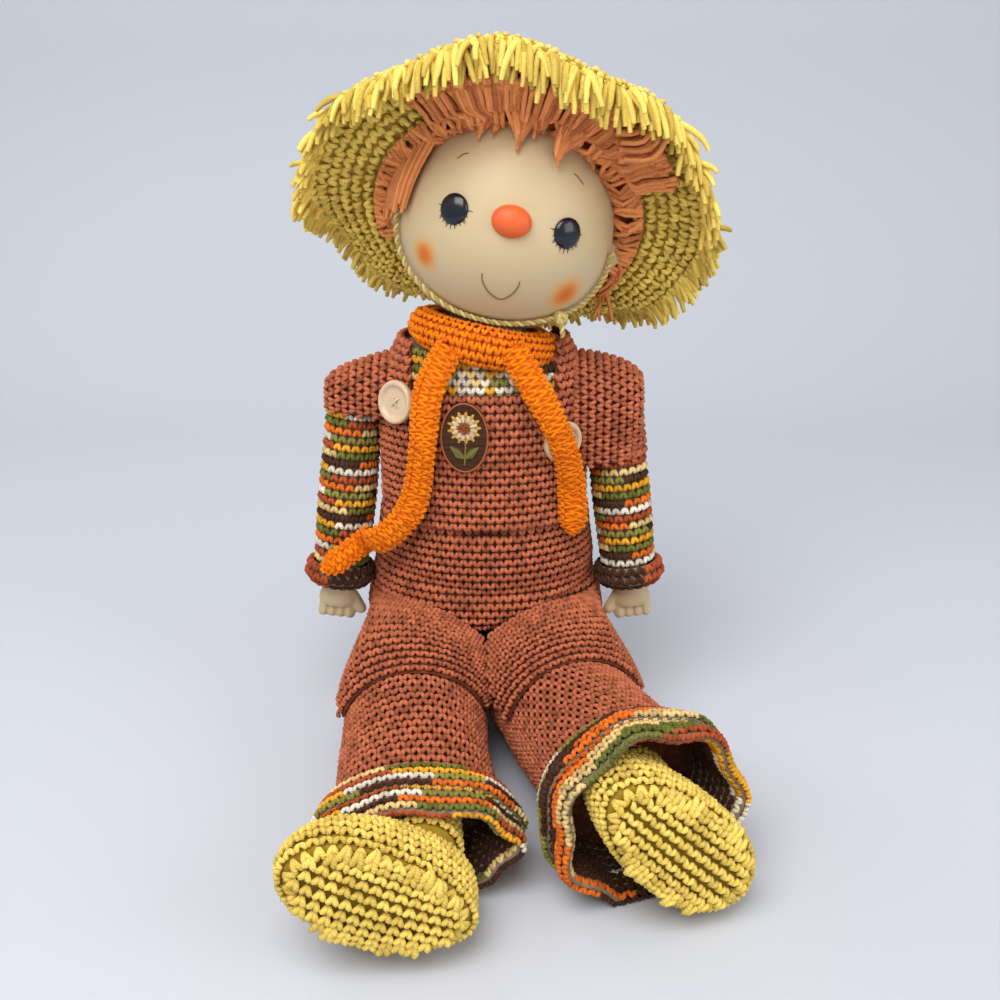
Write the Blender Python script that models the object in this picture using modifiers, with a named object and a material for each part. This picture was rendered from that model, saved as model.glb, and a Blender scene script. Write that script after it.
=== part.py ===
"""Seated scarecrow figure: a vinyl head and hands on a stuffed cloth body, dressed in crochet.

Units are metres, +Z is up and the figure faces -Y. Left and right are the figure's own: left is +X.
The origin is on the floor, under the seat.
"""

import math

import bmesh
import bpy
from mathutils import Euler, Matrix, Vector

# Fits and cloth
FIT = 0.0003
CUT_MARGIN = 0.02
SHIRT_WALL = 0.0028
OVERALL_WALL = 0.0036
BIB_WALL = 0.0032
SLEEVE_WALL = 0.0028
TROUSER_WALL = 0.0034
SOLE_THICKNESS = 0.0040

# Stuffed torso, half width at each height, drawn in from front to back
TORSO_Y = 0.0075
TORSO_DEPTH_RATIO = 0.70
SEAT_RADIUS = 0.0400
SEAT_BULGE_Z = 0.0160
HIP_HALF_WIDTH = 0.0530
HIP_Z = 0.0380
WAIST_HALF_WIDTH = 0.0490
WAIST_Z = 0.0860
CHEST_HALF_WIDTH = 0.0450
CHEST_Z = 0.1300
SHOULDER_HALF_WIDTH = 0.0448
SHOULDER_Z = 0.1660
COLLAR_RADIUS = 0.0330
TORSO_TOP_Z = 0.1940

# Legs, turning on a line through both hips
LEG_X = 0.0340
LEG_AXIS_Y = -0.0340
LEG_RADIUS = 0.0300
LEG_FLOOR_GAP = 0.0004
LAP_ROOM = 0.0005
KNEE_RADIUS = 0.0300
LEG_WIDTH_RATIO = 1.12
LEG_LENGTH = 0.1080
LEG_SPLAY_RIGHT = -5.0
LEG_SPLAY_LEFT = 19.0
ANKLE_RADIUS = 0.0150
CUFF_LENGTH = 0.0290
CUFF_MOUTH_RADIUS = 0.0370
CUFF_ROOT_RADIUS = 0.0312
CUFF_WALL = 0.0036
CUFF_WAVE = 0.0022
CUFF_WAVES = 7

# Shoes
SHOE_LENGTH = 0.0800
SHOE_WIDTH = 0.0450
SHOE_HEIGHT = 0.0300
SHOE_HEEL_BACK = 0.0230
SHOE_STAND_OFF = 0.0010
SHOE_TOE_SPREAD = 0.10
ANKLE_PLUG = 0.0120
ANKLE_TAPER = 0.0100
KNEE_SHARE = 0.45
CUFF_SAG = 0.0040
CUFF_BELL = 0.0010
# The right leg is pressed flat towards its cuff: its rise and (distance, height share) along it
LEG_PRESSED_RISE = -0.0060
LEG_PRESSED = [(0.0300, 1.0), (0.0790, 0.66), (0.1080, 0.54)]
# How far each toe is turned round the leg and points away from it, in degrees, and where the shoe hangs
SHOE_POSE = {"right": (155.0, 0.0), "left": (-45.0, -7.0)}
SHOE_SHIFT = {"right": (0.0, -0.0130, 0.0), "left": (-0.0069, 0.0078, -0.0180)}

# Arms, turning on a line through both shoulders
ARM_PLANE_X = 0.0490
SHOULDER_PIVOT_X = 0.0595
SHOULDER_PIVOT_Y = 0.0080
SHOULDER_PIVOT_Z = 0.1660
ARM_RADIUS = 0.0108
ELBOW_RADIUS = 0.0112
WRIST_RADIUS = 0.0096
WRIST_X = 0.0708
WRIST_Y = -0.0020
WRIST_Z = 0.0770
WRIST_RUN = 0.0080
ELBOW_SHARE = 0.55
SLEEVE_CUFF_LENGTH = 0.0090
SLEEVE_CUFF_FLARE = 0.0010
HAND_LENGTH = 0.0210
HAND_WIDTH = 0.0190
HAND_THICKNESS = 0.0110
HAND_STEM_RADIUS = 0.0065
HAND_STEM_LENGTH = 0.0140
FINGER_RADIUS = 0.0030
FINGER_LENGTH = 0.0080
FINGERS = 4
THUMB_LENGTH = 0.0100
WRIST_CORD_RADIUS = 0.0012

# Head, turned about its own leaning axis
HEAD_SIDE = 0.0115
HEAD_BACK = 0.0140
HEAD_RISE = 0.0560
HEAD_CENTRE = (HEAD_SIDE, HEAD_BACK, TORSO_TOP_Z + HEAD_RISE)
HEAD_LEAN = 12.0
HEAD_NOD = -8.0
HEAD_RADIUS = 0.0480
HEAD_TOP = 0.0520
HEAD_BOTTOM = 0.0520
CHEEK_DROP = 0.0100
HEAD_WALL = 0.0025
NECK_RADIUS = 0.0165
NECK_BOTTOM = 0.0700
FLANGE_RADIUS = 0.0200
FLANGE_THICKNESS = 0.0040
NECK_HOLE_RADIUS = 0.0110
EAR_WIDTH = 0.0070
EAR_HEIGHT = 0.0190
EAR_DEPTH = 0.0120
EAR_Z = -0.0040
EYE_X = 0.0238
EYE_Z = -0.0040
EYE_RADIUS = 0.0062
EYE_BULGE = 0.0022
NOSE_HALF_WIDTH = 0.0080
NOSE_HALF_HEIGHT = 0.0064
NOSE_BULGE = 0.0050
NOSE_Z = -0.0036

# Yarn hair
FRINGE_LOCKS = 7
FRINGE_SPREAD = 66.0
FRINGE_TOP_Z = 0.0420
FRINGE_DROP = 0.0180
FRINGE_WIDTH = 0.0066
LOCK_THICKNESS = 0.0050
LOCK_TAPER = 0.45
FRINGE_UNEVEN = 0.35
FRINGE_RHYTHM = 2.4
SIDE_LOCK_ANGLE = 79.0
SIDE_LOCK_TOP_Z = 0.0280
SIDE_LOCK_BOTTOM_Z = -0.0260
SIDE_LOCK_WIDTH = 0.0130

# Crochet hat, worn on the back of the head
HAT_TIP_BACK = 50.0
HAT_ROOT_RADIUS = 0.0590
HAT_WALL = 0.0036
BRIM_RADIUS = 0.0880
BRIM_RADIUS_LOW = 0.0800
BRIM_FORWARD = 0.0080
BRIM_SWEEP_BACK = 0.0220
BRIM_WALL = 0.0034
BRIM_WAVE = 0.0050
BRIM_WAVES = 7
BRIM_STEPS = 36
FRINGE_STRAND_LENGTH = 0.0100
FRINGE_STRAND_WALL = 0.0022

# Chin tie of the hat
TIE_RADIUS = 0.0016
TIE_BOTTOM_Z = -0.0378
TIE_KNOT_RADIUS = 0.0042
TIE_KNOT_ANGLE = 52.0
# Each run follows the jaw through (angle from the face, height)
TIE_ROUTES = {
    "right": [(-72.0, -0.0080), (-70.0, -0.0220), (-60.0, -0.0340), (-38.0, -0.0425), (-6.0, -0.0450),
              (26.0, -0.0435), (TIE_KNOT_ANGLE, TIE_BOTTOM_Z)],
    "left": [(70.0, -0.0080), (68.0, -0.0220), (61.0, -0.0320), (TIE_KNOT_ANGLE, TIE_BOTTOM_Z)],
}
TIE_TAIL_LENGTH = 0.0080

# Scarf
SCARF_INNER_RADIUS = 0.0205
SCARF_OUTER_RADIUS = 0.0320
SCARF_TOP_Z = -0.0440
SCARF_BOTTOM_Z = -0.0575
SCARF_CHIN_ROOM = 0.0042
SCARF_WIDTH = 0.0140
SCARF_THICKNESS = 0.0056
SCARF_EDGE = 0.0025
SCARF_FOLD = 0.08
SCARF_FOLD_STEP = 1.9
# Each tail hangs through (x, z, lift off the chest)
SCARF_ROUTES = {
    "right": [(-0.0140, 0.1980, 0.0040), (-0.0245, 0.1760, 0.0046), (-0.0272, 0.1520, 0.0046),
              (-0.0330, 0.1220, 0.0050), (-0.0540, 0.1040, 0.0170), (-0.0760, 0.0930, 0.0360)],
    "left": [(0.0120, 0.1980, 0.0040), (0.0240, 0.1760, 0.0054), (0.0330, 0.1540, 0.0070),
             (0.0370, 0.1320, 0.0044), (0.0390, 0.1080, 0.0)],
}
SIDES = (("right", -1), ("left", 1))

# Trim
BUTTON_RADIUS = 0.0098
BUTTON_THICKNESS = 0.0030
BUTTON_RIM = 0.0012
# The left button sits under the scarf's left tail
BUTTON_PLACES = {"right": (-0.0382, 0.1710), "left": (0.0350, 0.1540)}
PATCH_HALF_WIDTH = 0.0105
PATCH_HALF_HEIGHT = 0.0160
PATCH_THICKNESS = 0.0016
PATCH_X = -0.0080
PATCH_Z = 0.1590
BIB_TOP_Z = 0.1760
STRAP_WIDTH = 0.0160
STRAP_X = 0.0405
WAIST_SEAM_Z = 0.1120
NECK_CORD_RADIUS = 0.0013
NECK_CORD_Z = -0.0512

ROUND_STEPS = 20
HEAD_STEPS = 24
LIMB_STEPS = 16
FINGER_STEPS = 6
SMOOTH_ANGLE = math.radians(40)

COLOURS = {
    "vinyl": ((0.90, 0.80, 0.58), 0.35),
    "eye": ((0.01, 0.01, 0.015), 0.08),
    "nose": ((0.95, 0.25, 0.06), 0.3),
    "hair": ((0.62, 0.27, 0.12), 0.9),
    "straw_yarn": ((0.72, 0.58, 0.20), 0.95),
    "tie_yarn": ((0.82, 0.70, 0.36), 0.95),
    "stuffing": ((0.85, 0.80, 0.70), 0.95),
    "brown_yarn": ((0.36, 0.16, 0.11), 0.95),
    "mixed_yarn": ((0.62, 0.36, 0.14), 0.95),
    "orange_yarn": ((0.98, 0.42, 0.04), 0.9),
    "dark_yarn": ((0.18, 0.07, 0.05), 0.95),
    "button": ((0.76, 0.66, 0.46), 0.4),
    "patch": ((0.60, 0.42, 0.18), 0.8),
    "cord": ((0.80, 0.74, 0.62), 0.8),
}

HEAD_TURN = Euler((math.radians(HEAD_NOD), 0, 0)).to_matrix()
HEAD_TURN = Euler((0, math.radians(HEAD_LEAN), 0)).to_matrix() @ HEAD_TURN
HEAD_FRAME = Matrix.Translation(HEAD_CENTRE) @ HEAD_TURN.to_4x4()
HAT_FRAME = HEAD_FRAME @ Matrix.Rotation(math.radians(-HAT_TIP_BACK), 4, "X")
LEG_AXIS_Z = LEG_RADIUS + LEG_FLOOR_GAP
LAYER_1 = FIT + SHIRT_WALL
LAYER_2 = LAYER_1 + 2 * FIT + BIB_WALL
ORIGIN = Matrix.Identity(4)


# Scene, materials and modelling helpers
def clear_scene():
    for item in list(bpy.data.objects):
        bpy.data.objects.remove(item)


def collection(name):
    group = bpy.data.collections.new(name)
    bpy.context.scene.collection.children.link(group)
    return group


def finish(name):
    colour, roughness = COLOURS[name]
    found = bpy.data.materials.get(name)
    if found:
        return found
    made = bpy.data.materials.new(name)
    made.use_nodes = True
    shader = made.node_tree.nodes["Principled BSDF"]
    shader.inputs["Base Color"].default_value = (*colour, 1)
    shader.inputs["Roughness"].default_value = roughness
    shader.inputs["Metallic"].default_value = 0
    return made


def place(name, mesh, colour, frame=ORIGIN, pivot=None):
    """One named part. Its mesh is in the frame given, and its parent empty is on its joint."""
    part = bpy.data.objects.new(name, mesh)
    PARTS.objects.link(part)
    part.matrix_world = frame
    if pivot:
        part.parent = pivot
        part.matrix_parent_inverse = pivot.matrix_world.inverted()
    mesh.materials.append(finish(colour))
    mesh.shade_smooth()
    mesh.set_sharp_from_angle(angle=SMOOTH_ANGLE)
    return part


def cutter(name, mesh, frame=ORIGIN):
    tool = bpy.data.objects.new(name, mesh)
    CUTTERS.objects.link(tool)
    tool.matrix_world = frame
    tool.hide_render = True
    tool.display_type = "WIRE"
    return tool


def pivot_at(name, point):
    empty = bpy.data.objects.new(name, None)
    PARTS.objects.link(empty)
    empty.location = point
    bpy.context.view_layer.update()
    return empty


def boolean(part, tool, operation="DIFFERENCE"):
    modifier = part.modifiers.new(operation.title(), "BOOLEAN")
    modifier.operation = operation
    modifier.object = tool
    modifier.solver = "EXACT"


def turned(name, profile, steps=ROUND_STEPS, closed=False):
    """A mesh turned about Z from (radius, z) points that run down the outer side."""
    shape = bmesh.new()
    points = [shape.verts.new((radius, 0, height)) for radius, height in profile]
    edges = [shape.edges.new(pair) for pair in zip(points, points[1:])]
    if closed:
        edges.append(shape.edges.new((points[-1], points[0])))
    line = bpy.data.meshes.new(name)
    shape.to_mesh(line)
    shape.free()
    guide = bpy.data.objects.new(name, line)
    bpy.context.scene.collection.objects.link(guide)
    screw = guide.modifiers.new("Screw", "SCREW")
    screw.steps = steps
    screw.render_steps = steps
    screw.use_merge_vertices = True
    screw.merge_threshold = 0.00001
    graph = bpy.context.evaluated_depsgraph_get()
    mesh = bpy.data.meshes.new_from_object(guide.evaluated_get(graph))
    bpy.data.objects.remove(guide)
    return outward(mesh)


def outward(mesh):
    """The same mesh with its doubles merged and its faces pointing out."""
    shape = bmesh.new()
    shape.from_mesh(mesh)
    bmesh.ops.remove_doubles(shape, verts=shape.verts, dist=0.000002)
    bmesh.ops.recalc_face_normals(shape, faces=shape.faces)
    shape.to_mesh(mesh)
    shape.free()
    return mesh


def bridge(shape, first, second):
    count = len(first)
    for index in range(count):
        after = (index + 1) % count
        shape.faces.new((first[index], first[after], second[after], second[index]))


def loft(name, rings, hollow=None, ring_shaped=False):
    """A closed form through rings of points. A hollow one is a cup whose mouth is at the first ring,
    or a tube open at both ends where ring_shaped is set."""
    shape = bmesh.new()
    outer = [[shape.verts.new(point) for point in ring] for ring in rings]
    for first, second in zip(outer, outer[1:]):
        bridge(shape, first, second)
    if hollow is None:
        shape.faces.new(outer[0])
        shape.faces.new(outer[-1])
    else:
        inner = [[shape.verts.new(point) for point in ring] for ring in hollow]
        for first, second in zip(inner, inner[1:]):
            bridge(shape, first, second)
        bridge(shape, outer[0], inner[0])
        if ring_shaped:
            bridge(shape, outer[-1], inner[-1])
        else:
            shape.faces.new(outer[-1])
            shape.faces.new(inner[-1])
    mesh = bpy.data.meshes.new(name)
    shape.to_mesh(mesh)
    shape.free()
    return outward(mesh)


def box(name, low, high):
    shape = bmesh.new()
    bmesh.ops.create_cube(shape, size=1)
    middle = (Vector(low) + Vector(high)) / 2
    size = Vector(high) - Vector(low)
    bmesh.ops.scale(shape, vec=size, verts=shape.verts)
    bmesh.ops.translate(shape, vec=middle, verts=shape.verts)
    mesh = bpy.data.meshes.new(name)
    shape.to_mesh(mesh)
    shape.free()
    return mesh


def ellipsoid(name, radii, centre=(0, 0, 0), steps=12):
    shape = bmesh.new()
    bmesh.ops.create_uvsphere(shape, u_segments=steps, v_segments=steps // 2, radius=1)
    bmesh.ops.scale(shape, vec=radii, verts=shape.verts)
    bmesh.ops.translate(shape, vec=centre, verts=shape.verts)
    mesh = bpy.data.meshes.new(name)
    shape.to_mesh(mesh)
    shape.free()
    return mesh


def torus_profile(radius, middle_z, tube, points=10):
    turns = [-2 * math.pi * index / points for index in range(points)]
    return [(radius + tube * math.cos(turn), middle_z + tube * math.sin(turn)) for turn in turns]


def spread(first, last, count):
    return [first + (last - first) * index / (count - 1) for index in range(count)]


def smooth_through(stations, count):
    """Points on a smooth curve through the stations, which may hold any number of values each."""
    found = []
    for step in spread(0, len(stations) - 1, count):
        index = min(int(step), len(stations) - 2)
        part = step - index
        before = stations[max(index - 1, 0)]
        start = stations[index]
        end = stations[index + 1]
        after = stations[min(index + 2, len(stations) - 1)]
        found.append([
            0.5 * (2 * b + (c - a) * part + (2 * a - 5 * b + 4 * c - d) * part**2
                   + (3 * b - a - 3 * c + d) * part**3)
            for a, b, c, d in zip(before, start, end, after)
        ])
    return found


# The torso and what is worn on it
def torso_line(offset, low_z, high_z, points=10):
    """The torso's half width at heights from the top down, grown by an offset."""
    stations = [
        (COLLAR_RADIUS, TORSO_TOP_Z),
        (SHOULDER_HALF_WIDTH, SHOULDER_Z),
        (CHEST_HALF_WIDTH, CHEST_Z),
        (WAIST_HALF_WIDTH, WAIST_Z),
        (HIP_HALF_WIDTH, HIP_Z),
        (HIP_HALF_WIDTH - (HIP_HALF_WIDTH - SEAT_RADIUS) / 3, SEAT_BULGE_Z),
        (SEAT_RADIUS, 0),
    ]
    line = smooth_through(stations, 4 * len(stations))
    grown = []
    for index, (radius, height) in enumerate(line):
        ahead = line[min(index + 1, len(line) - 1)]
        behind = line[max(index - 1, 0)]
        run = Vector((ahead[0] - behind[0], ahead[1] - behind[1])).normalized()
        grown.append((radius - run.y * offset, height + run.x * offset))
    return [(width_at(grown, height), height) for height in spread(high_z, low_z, points)]


def width_at(line, height):
    """Half width of a falling line of (radius, z) points at one height."""
    for (radius, top), (next_radius, bottom) in zip(line, line[1:]):
        if bottom <= height <= top and top > bottom:
            return radius + (next_radius - radius) * (top - height) / (top - bottom)
    return line[0][0] if height > line[0][1] else line[-1][0]


def torso_front(x, z, offset):
    """Y of the front of the torso, or of a layer on it, at one point of the chest."""
    radius = torso_line(offset, z, z + FIT, 2)[-1][0]
    return TORSO_Y - TORSO_DEPTH_RATIO * math.sqrt(max(radius**2 - x**2, 0))


TORSO_FRAME = Matrix.Translation((0, TORSO_Y, 0)) @ Matrix.Diagonal((1, TORSO_DEPTH_RATIO, 1, 1))


def torso_solid(name, offset, low_z, high_z):
    line = torso_line(offset, low_z, high_z)
    return turned(name, [(0, high_z), *line, (0, low_z)])


def torso_layer(name, inner, outer, low_z, high_z):
    """A layer of cloth round the torso, open at the top and the bottom."""
    outside = torso_line(outer, low_z, high_z)
    inside = torso_line(inner, low_z, high_z)
    return turned(name, [*outside, *reversed(inside)], closed=True)


def lap_cutters():
    """The room that both legs need to swing from straight ahead to straight down."""
    splay = math.radians(max(abs(LEG_SPLAY_RIGHT), abs(LEG_SPLAY_LEFT)))
    widest = LEG_RADIUS * math.hypot(LEG_WIDTH_RATIO * math.sin(splay), math.cos(splay))
    reach = (widest + LAP_ROOM) / math.cos(math.pi / ROUND_STEPS)
    side = HIP_HALF_WIDTH + OVERALL_WALL + CUT_MARGIN
    profile = [(0, side), (reach, side), (reach, -side), (0, -side)]
    across = Matrix.Translation((0, LEG_AXIS_Y, LEG_AXIS_Z)) @ Matrix.Rotation(math.pi / 2, 4, "Y")
    roll = cutter("hip_roll", turned("hip_roll", profile), across)
    low = (-side, LEG_AXIS_Y - TORSO_TOP_Z, -CUT_MARGIN)
    high = (side, LEG_AXIS_Y + reach, LEG_AXIS_Z)
    return [roll, cutter("lap_room", box("lap_room", low, high))]


def neck_socket():
    """The room for the head's neck and flange, on the neck's own axis."""
    flange = FLANGE_RADIUS + FIT
    neck = NECK_RADIUS + FIT
    bottom = -NECK_BOTTOM - FIT
    lip = bottom + FLANGE_THICKNESS + 2 * FIT
    profile = [(0, 0), (neck, 0), (neck, lip), (flange, lip), (flange, bottom), (0, bottom)]
    return cutter("neck_socket", turned("neck_socket", profile), HEAD_FRAME)


def scarf_room():
    """The room for the scarf's turn round the neck, so that it beds into the shoulders."""
    inner = SCARF_INNER_RADIUS - FIT
    outer = SCARF_OUTER_RADIUS + FIT
    bottom = SCARF_BOTTOM_Z - FIT
    profile = [(outer, 0), (outer, bottom), (inner, bottom), (inner, 0)]
    return cutter("scarf_room", turned("scarf_room", profile, closed=True), HEAD_FRAME)


def make_torso():
    lap = lap_cutters()
    neck = [neck_socket(), scarf_room()]
    top = TORSO_TOP_Z
    stuffing_floor = OVERALL_WALL + FIT
    body = torso_solid("torso_stuffing", 0, stuffing_floor, top)
    stuffing = place("torso_stuffing", body, "stuffing", TORSO_FRAME)
    seam = WAIST_SEAM_Z
    shirt_mesh = torso_layer("shirt_body", FIT, LAYER_1, seam, top - FIT)
    shirt = place("shirt_body", shirt_mesh, "mixed_yarn", TORSO_FRAME)
    rim = seam - FIT
    outside = torso_line(FIT + OVERALL_WALL, 0, rim)
    inside = torso_line(FIT, OVERALL_WALL, rim)
    cup = [*outside, (0, 0), (0, OVERALL_WALL), *reversed(inside)]
    overalls_mesh = turned("overalls_body", cup, closed=True)
    overalls = place("overalls_body", overalls_mesh, "brown_yarn", TORSO_FRAME)
    for part in (stuffing, overalls):
        for tool in lap:
            boolean(part, tool)
    for part in (stuffing, shirt):
        for tool in neck:
            boolean(part, tool)
    make_bib_and_straps(neck)


def cloth_over_shirt(name, low, high):
    """A piece of the layer that lies over the shirt, inside one box."""
    top = TORSO_TOP_Z + BIB_WALL
    inner = LAYER_1 + FIT
    mesh = torso_layer(name, inner, LAYER_2, WAIST_SEAM_Z + FIT, top)
    part = place(name, mesh, "brown_yarn", TORSO_FRAME)
    boolean(part, cutter(name + "_outline", box(name + "_outline", low, high)), "INTERSECT")
    return part


def make_bib_and_straps(neck):
    reach = WAIST_HALF_WIDTH + CUT_MARGIN
    above = TORSO_TOP_Z + CUT_MARGIN
    half = STRAP_X - STRAP_WIDTH / 2 - FIT
    cloth_over_shirt("overalls_bib", (-half, -reach, 0), (half, TORSO_Y, BIB_TOP_Z))
    for side, sign in SIDES:
        near = sign * (STRAP_X - STRAP_WIDTH / 2)
        far = sign * (STRAP_X + STRAP_WIDTH / 2)
        low = (min(near, far), -reach, 0)
        high = (max(near, far), reach, above)
        strap = cloth_over_shirt(f"strap_{side}", low, high)
        for tool in neck:
            boolean(strap, tool)


def chest_cutter():
    """Everything worn on the chest, grown by a fit, so that trim can be laid on it."""
    mesh = torso_solid("chest", LAYER_2 + FIT / TORSO_DEPTH_RATIO, WAIST_Z, TORSO_TOP_Z + LAYER_2)
    return cutter("chest", mesh, TORSO_FRAME)


def facing(point, sink):
    """A frame on the chest at one (x, z) whose Z axis points out of the cloth."""
    x, z = point
    step = FIT
    here = Vector((x, torso_front(x, z, LAYER_2), z))
    across = Vector((x + step, torso_front(x + step, z, LAYER_2), z)) - here
    up = Vector((x, torso_front(x, z + step * 4, LAYER_2), z + step * 4)) - here
    out = across.cross(up).normalized()
    turn = Matrix((across.normalized(), out.cross(across.normalized()), out)).transposed()
    return Matrix.Translation(here - out * sink) @ turn.to_4x4()


def make_trim(chest):
    for side in BUTTON_PLACES:
        face = BUTTON_THICKNESS
        rim = BUTTON_RADIUS - BUTTON_RIM
        dish = face - BUTTON_RIM
        profile = [(0, dish), (rim - BUTTON_RIM, dish), (rim, face), (BUTTON_RADIUS, dish),
                   (BUTTON_RADIUS, -face), (0, -face)]
        frame = facing(BUTTON_PLACES[side], 0)
        button = place(f"button_{side}", turned(f"button_{side}", profile), "button", frame)
        boolean(button, chest)
    turns = [2 * math.pi * index / LIMB_STEPS for index in range(LIMB_STEPS)]
    rings = [
        [(PATCH_HALF_WIDTH * math.cos(turn), PATCH_HALF_HEIGHT * math.sin(turn), height) for turn in turns]
        for height in (-4 * PATCH_THICKNESS, PATCH_THICKNESS)
    ]
    frame = facing((PATCH_X, PATCH_Z), 0)
    boolean(place("bib_patch", loft("bib_patch", rings), "patch", frame), chest)


def band(name, route, width, thickness):
    """A flat knitted band with soft edges along a route of (x, y, z) points on the chest."""
    points = [Vector(point) for point in smooth_through(route, 3 * len(route))]
    rings = []
    for index, point in enumerate(points):
        ahead = points[min(index + 1, len(points) - 1)]
        behind = points[max(index - 1, 0)]
        run = (ahead - behind).normalized()
        across = run.cross(Vector((0, -1, 0))).normalized()
        out = across.cross(run).normalized()
        fold = 1 + SCARF_FOLD * math.sin(index * SCARF_FOLD_STEP)
        half = width * fold / 2
        outline = ((-half, 0), (-0.7 * half, -0.5), (0.7 * half, -0.5), (half, 0), (0.7 * half, 0.5),
                   (-0.7 * half, 0.5))
        rings.append([point + across * side + out * (lift * thickness) for side, lift in outline])
    return loft(name, rings)


def on_chest(points):
    lift = SCARF_THICKNESS / 2
    return [(x, torso_front(x, z, LAYER_2) - lift - extra, z) for x, z, extra in points]


def make_scarf(chest):
    profile = [
        (SCARF_OUTER_RADIUS - SCARF_EDGE, SCARF_TOP_Z),
        (SCARF_OUTER_RADIUS, SCARF_TOP_Z - SCARF_EDGE),
        (SCARF_OUTER_RADIUS, SCARF_BOTTOM_Z + SCARF_EDGE),
        (SCARF_OUTER_RADIUS - SCARF_EDGE, SCARF_BOTTOM_Z),
        (SCARF_INNER_RADIUS, SCARF_BOTTOM_Z),
        (SCARF_INNER_RADIUS, SCARF_TOP_Z),
    ]
    around_neck = place("scarf_wrap", turned("scarf_wrap", profile, closed=True), "orange_yarn", HEAD_FRAME)
    chin_line = head_line(SCARF_CHIN_ROOM, NECK_RADIUS)
    chin = turned("chin_room", [*chin_line, (0, chin_line[-1][1])], HEAD_STEPS)
    boolean(around_neck, cutter("chin_room", chin, HEAD_FRAME))
    wrap_profile = [(SCARF_OUTER_RADIUS + FIT, 0), (SCARF_OUTER_RADIUS + FIT, -2 * NECK_BOTTOM),
                    (0, -2 * NECK_BOTTOM)]
    wrap = cutter("scarf_clear", turned("scarf_clear", [(0, 0), *wrap_profile]), HEAD_FRAME)
    for side, sign in SIDES:
        mesh = band(f"scarf_tail_{side}", on_chest(SCARF_ROUTES[side]), SCARF_WIDTH, SCARF_THICKNESS)
        tail = place(f"scarf_tail_{side}", mesh, "orange_yarn")
        boolean(tail, chest)
        boolean(tail, wrap)
    cord = torus_profile(NECK_RADIUS + NECK_CORD_RADIUS + FIT, NECK_CORD_Z, NECK_CORD_RADIUS, 6)
    place("neck_cord", turned("neck_cord", cord, closed=True), "cord", HEAD_FRAME)


# Limbs
def limb_frame(start, run):
    """A frame whose Z axis runs down a limb from its pivot, with X kept level."""
    down = Vector(run).normalized()
    across = Vector((0, 0, 1)).cross(down)
    if across.length < 0.5:
        across = Vector((1, 0, 0)) - down * down.x
    across.normalize()
    turn = Matrix((across, down.cross(across), down)).transposed()
    return Matrix.Translation(start) @ turn.to_4x4()


def limb_rings(frame, stations, limit, wave=None, wide=None, tall=None):
    """Rings about a limb's axis from (distance, radius) stations, kept on one side of a plane.
    Wide and tall give the share of the radius across the limb and up it at a distance."""
    axis, least = limit
    rings = []
    for distance, radius in stations:
        ring = []
        for index in range(LIMB_STEPS):
            turn = 2 * math.pi * index / LIMB_STEPS
            swell = radius + (wave(distance, turn) if wave else 0)
            across = swell * (wide(distance) if wide else 1) * math.cos(turn)
            upwards = swell * (tall(distance) if tall else 1) * math.sin(turn)
            point = frame @ Vector((across, upwards, distance))
            if axis == "z":
                point.z = max(point.z, least)
            elif axis == "+x":
                point.x = max(point.x, least)
            else:
                point.x = min(point.x, -least)
            ring.append(point)
        rings.append(ring)
    return rings


def dome(radius, points=3):
    """(distance, radius) stations of a round closed end on a pivot, from its widest ring to its tip."""
    turns = [math.pi / 2 * (index + 0.5) / (points + 1) for index in range(points + 1)]
    return [(-radius * math.sin(turn), radius * math.cos(turn)) for turn in turns]


def arm_stations(grow, reach):
    length = (Vector((WRIST_X, WRIST_Y, WRIST_Z)) - Vector(shoulder(1))).length
    middle = length * ELBOW_SHARE
    body = [(middle, ELBOW_RADIUS + grow), (middle * ELBOW_SHARE, ARM_RADIUS + grow)]
    end = reach(length)
    taper = WRIST_RADIUS + grow
    if end > length - WRIST_RUN:
        mouth = [(end, taper), (length - WRIST_RUN, taper)]
    else:
        mouth = [(end, taper)]
    return [*mouth, *body, *dome(ARM_RADIUS + grow)]


def shoulder(sign):
    return (sign * SHOULDER_PIVOT_X, SHOULDER_PIVOT_Y, SHOULDER_PIVOT_Z)


def wrist(sign):
    return (sign * WRIST_X, WRIST_Y, WRIST_Z)


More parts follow.
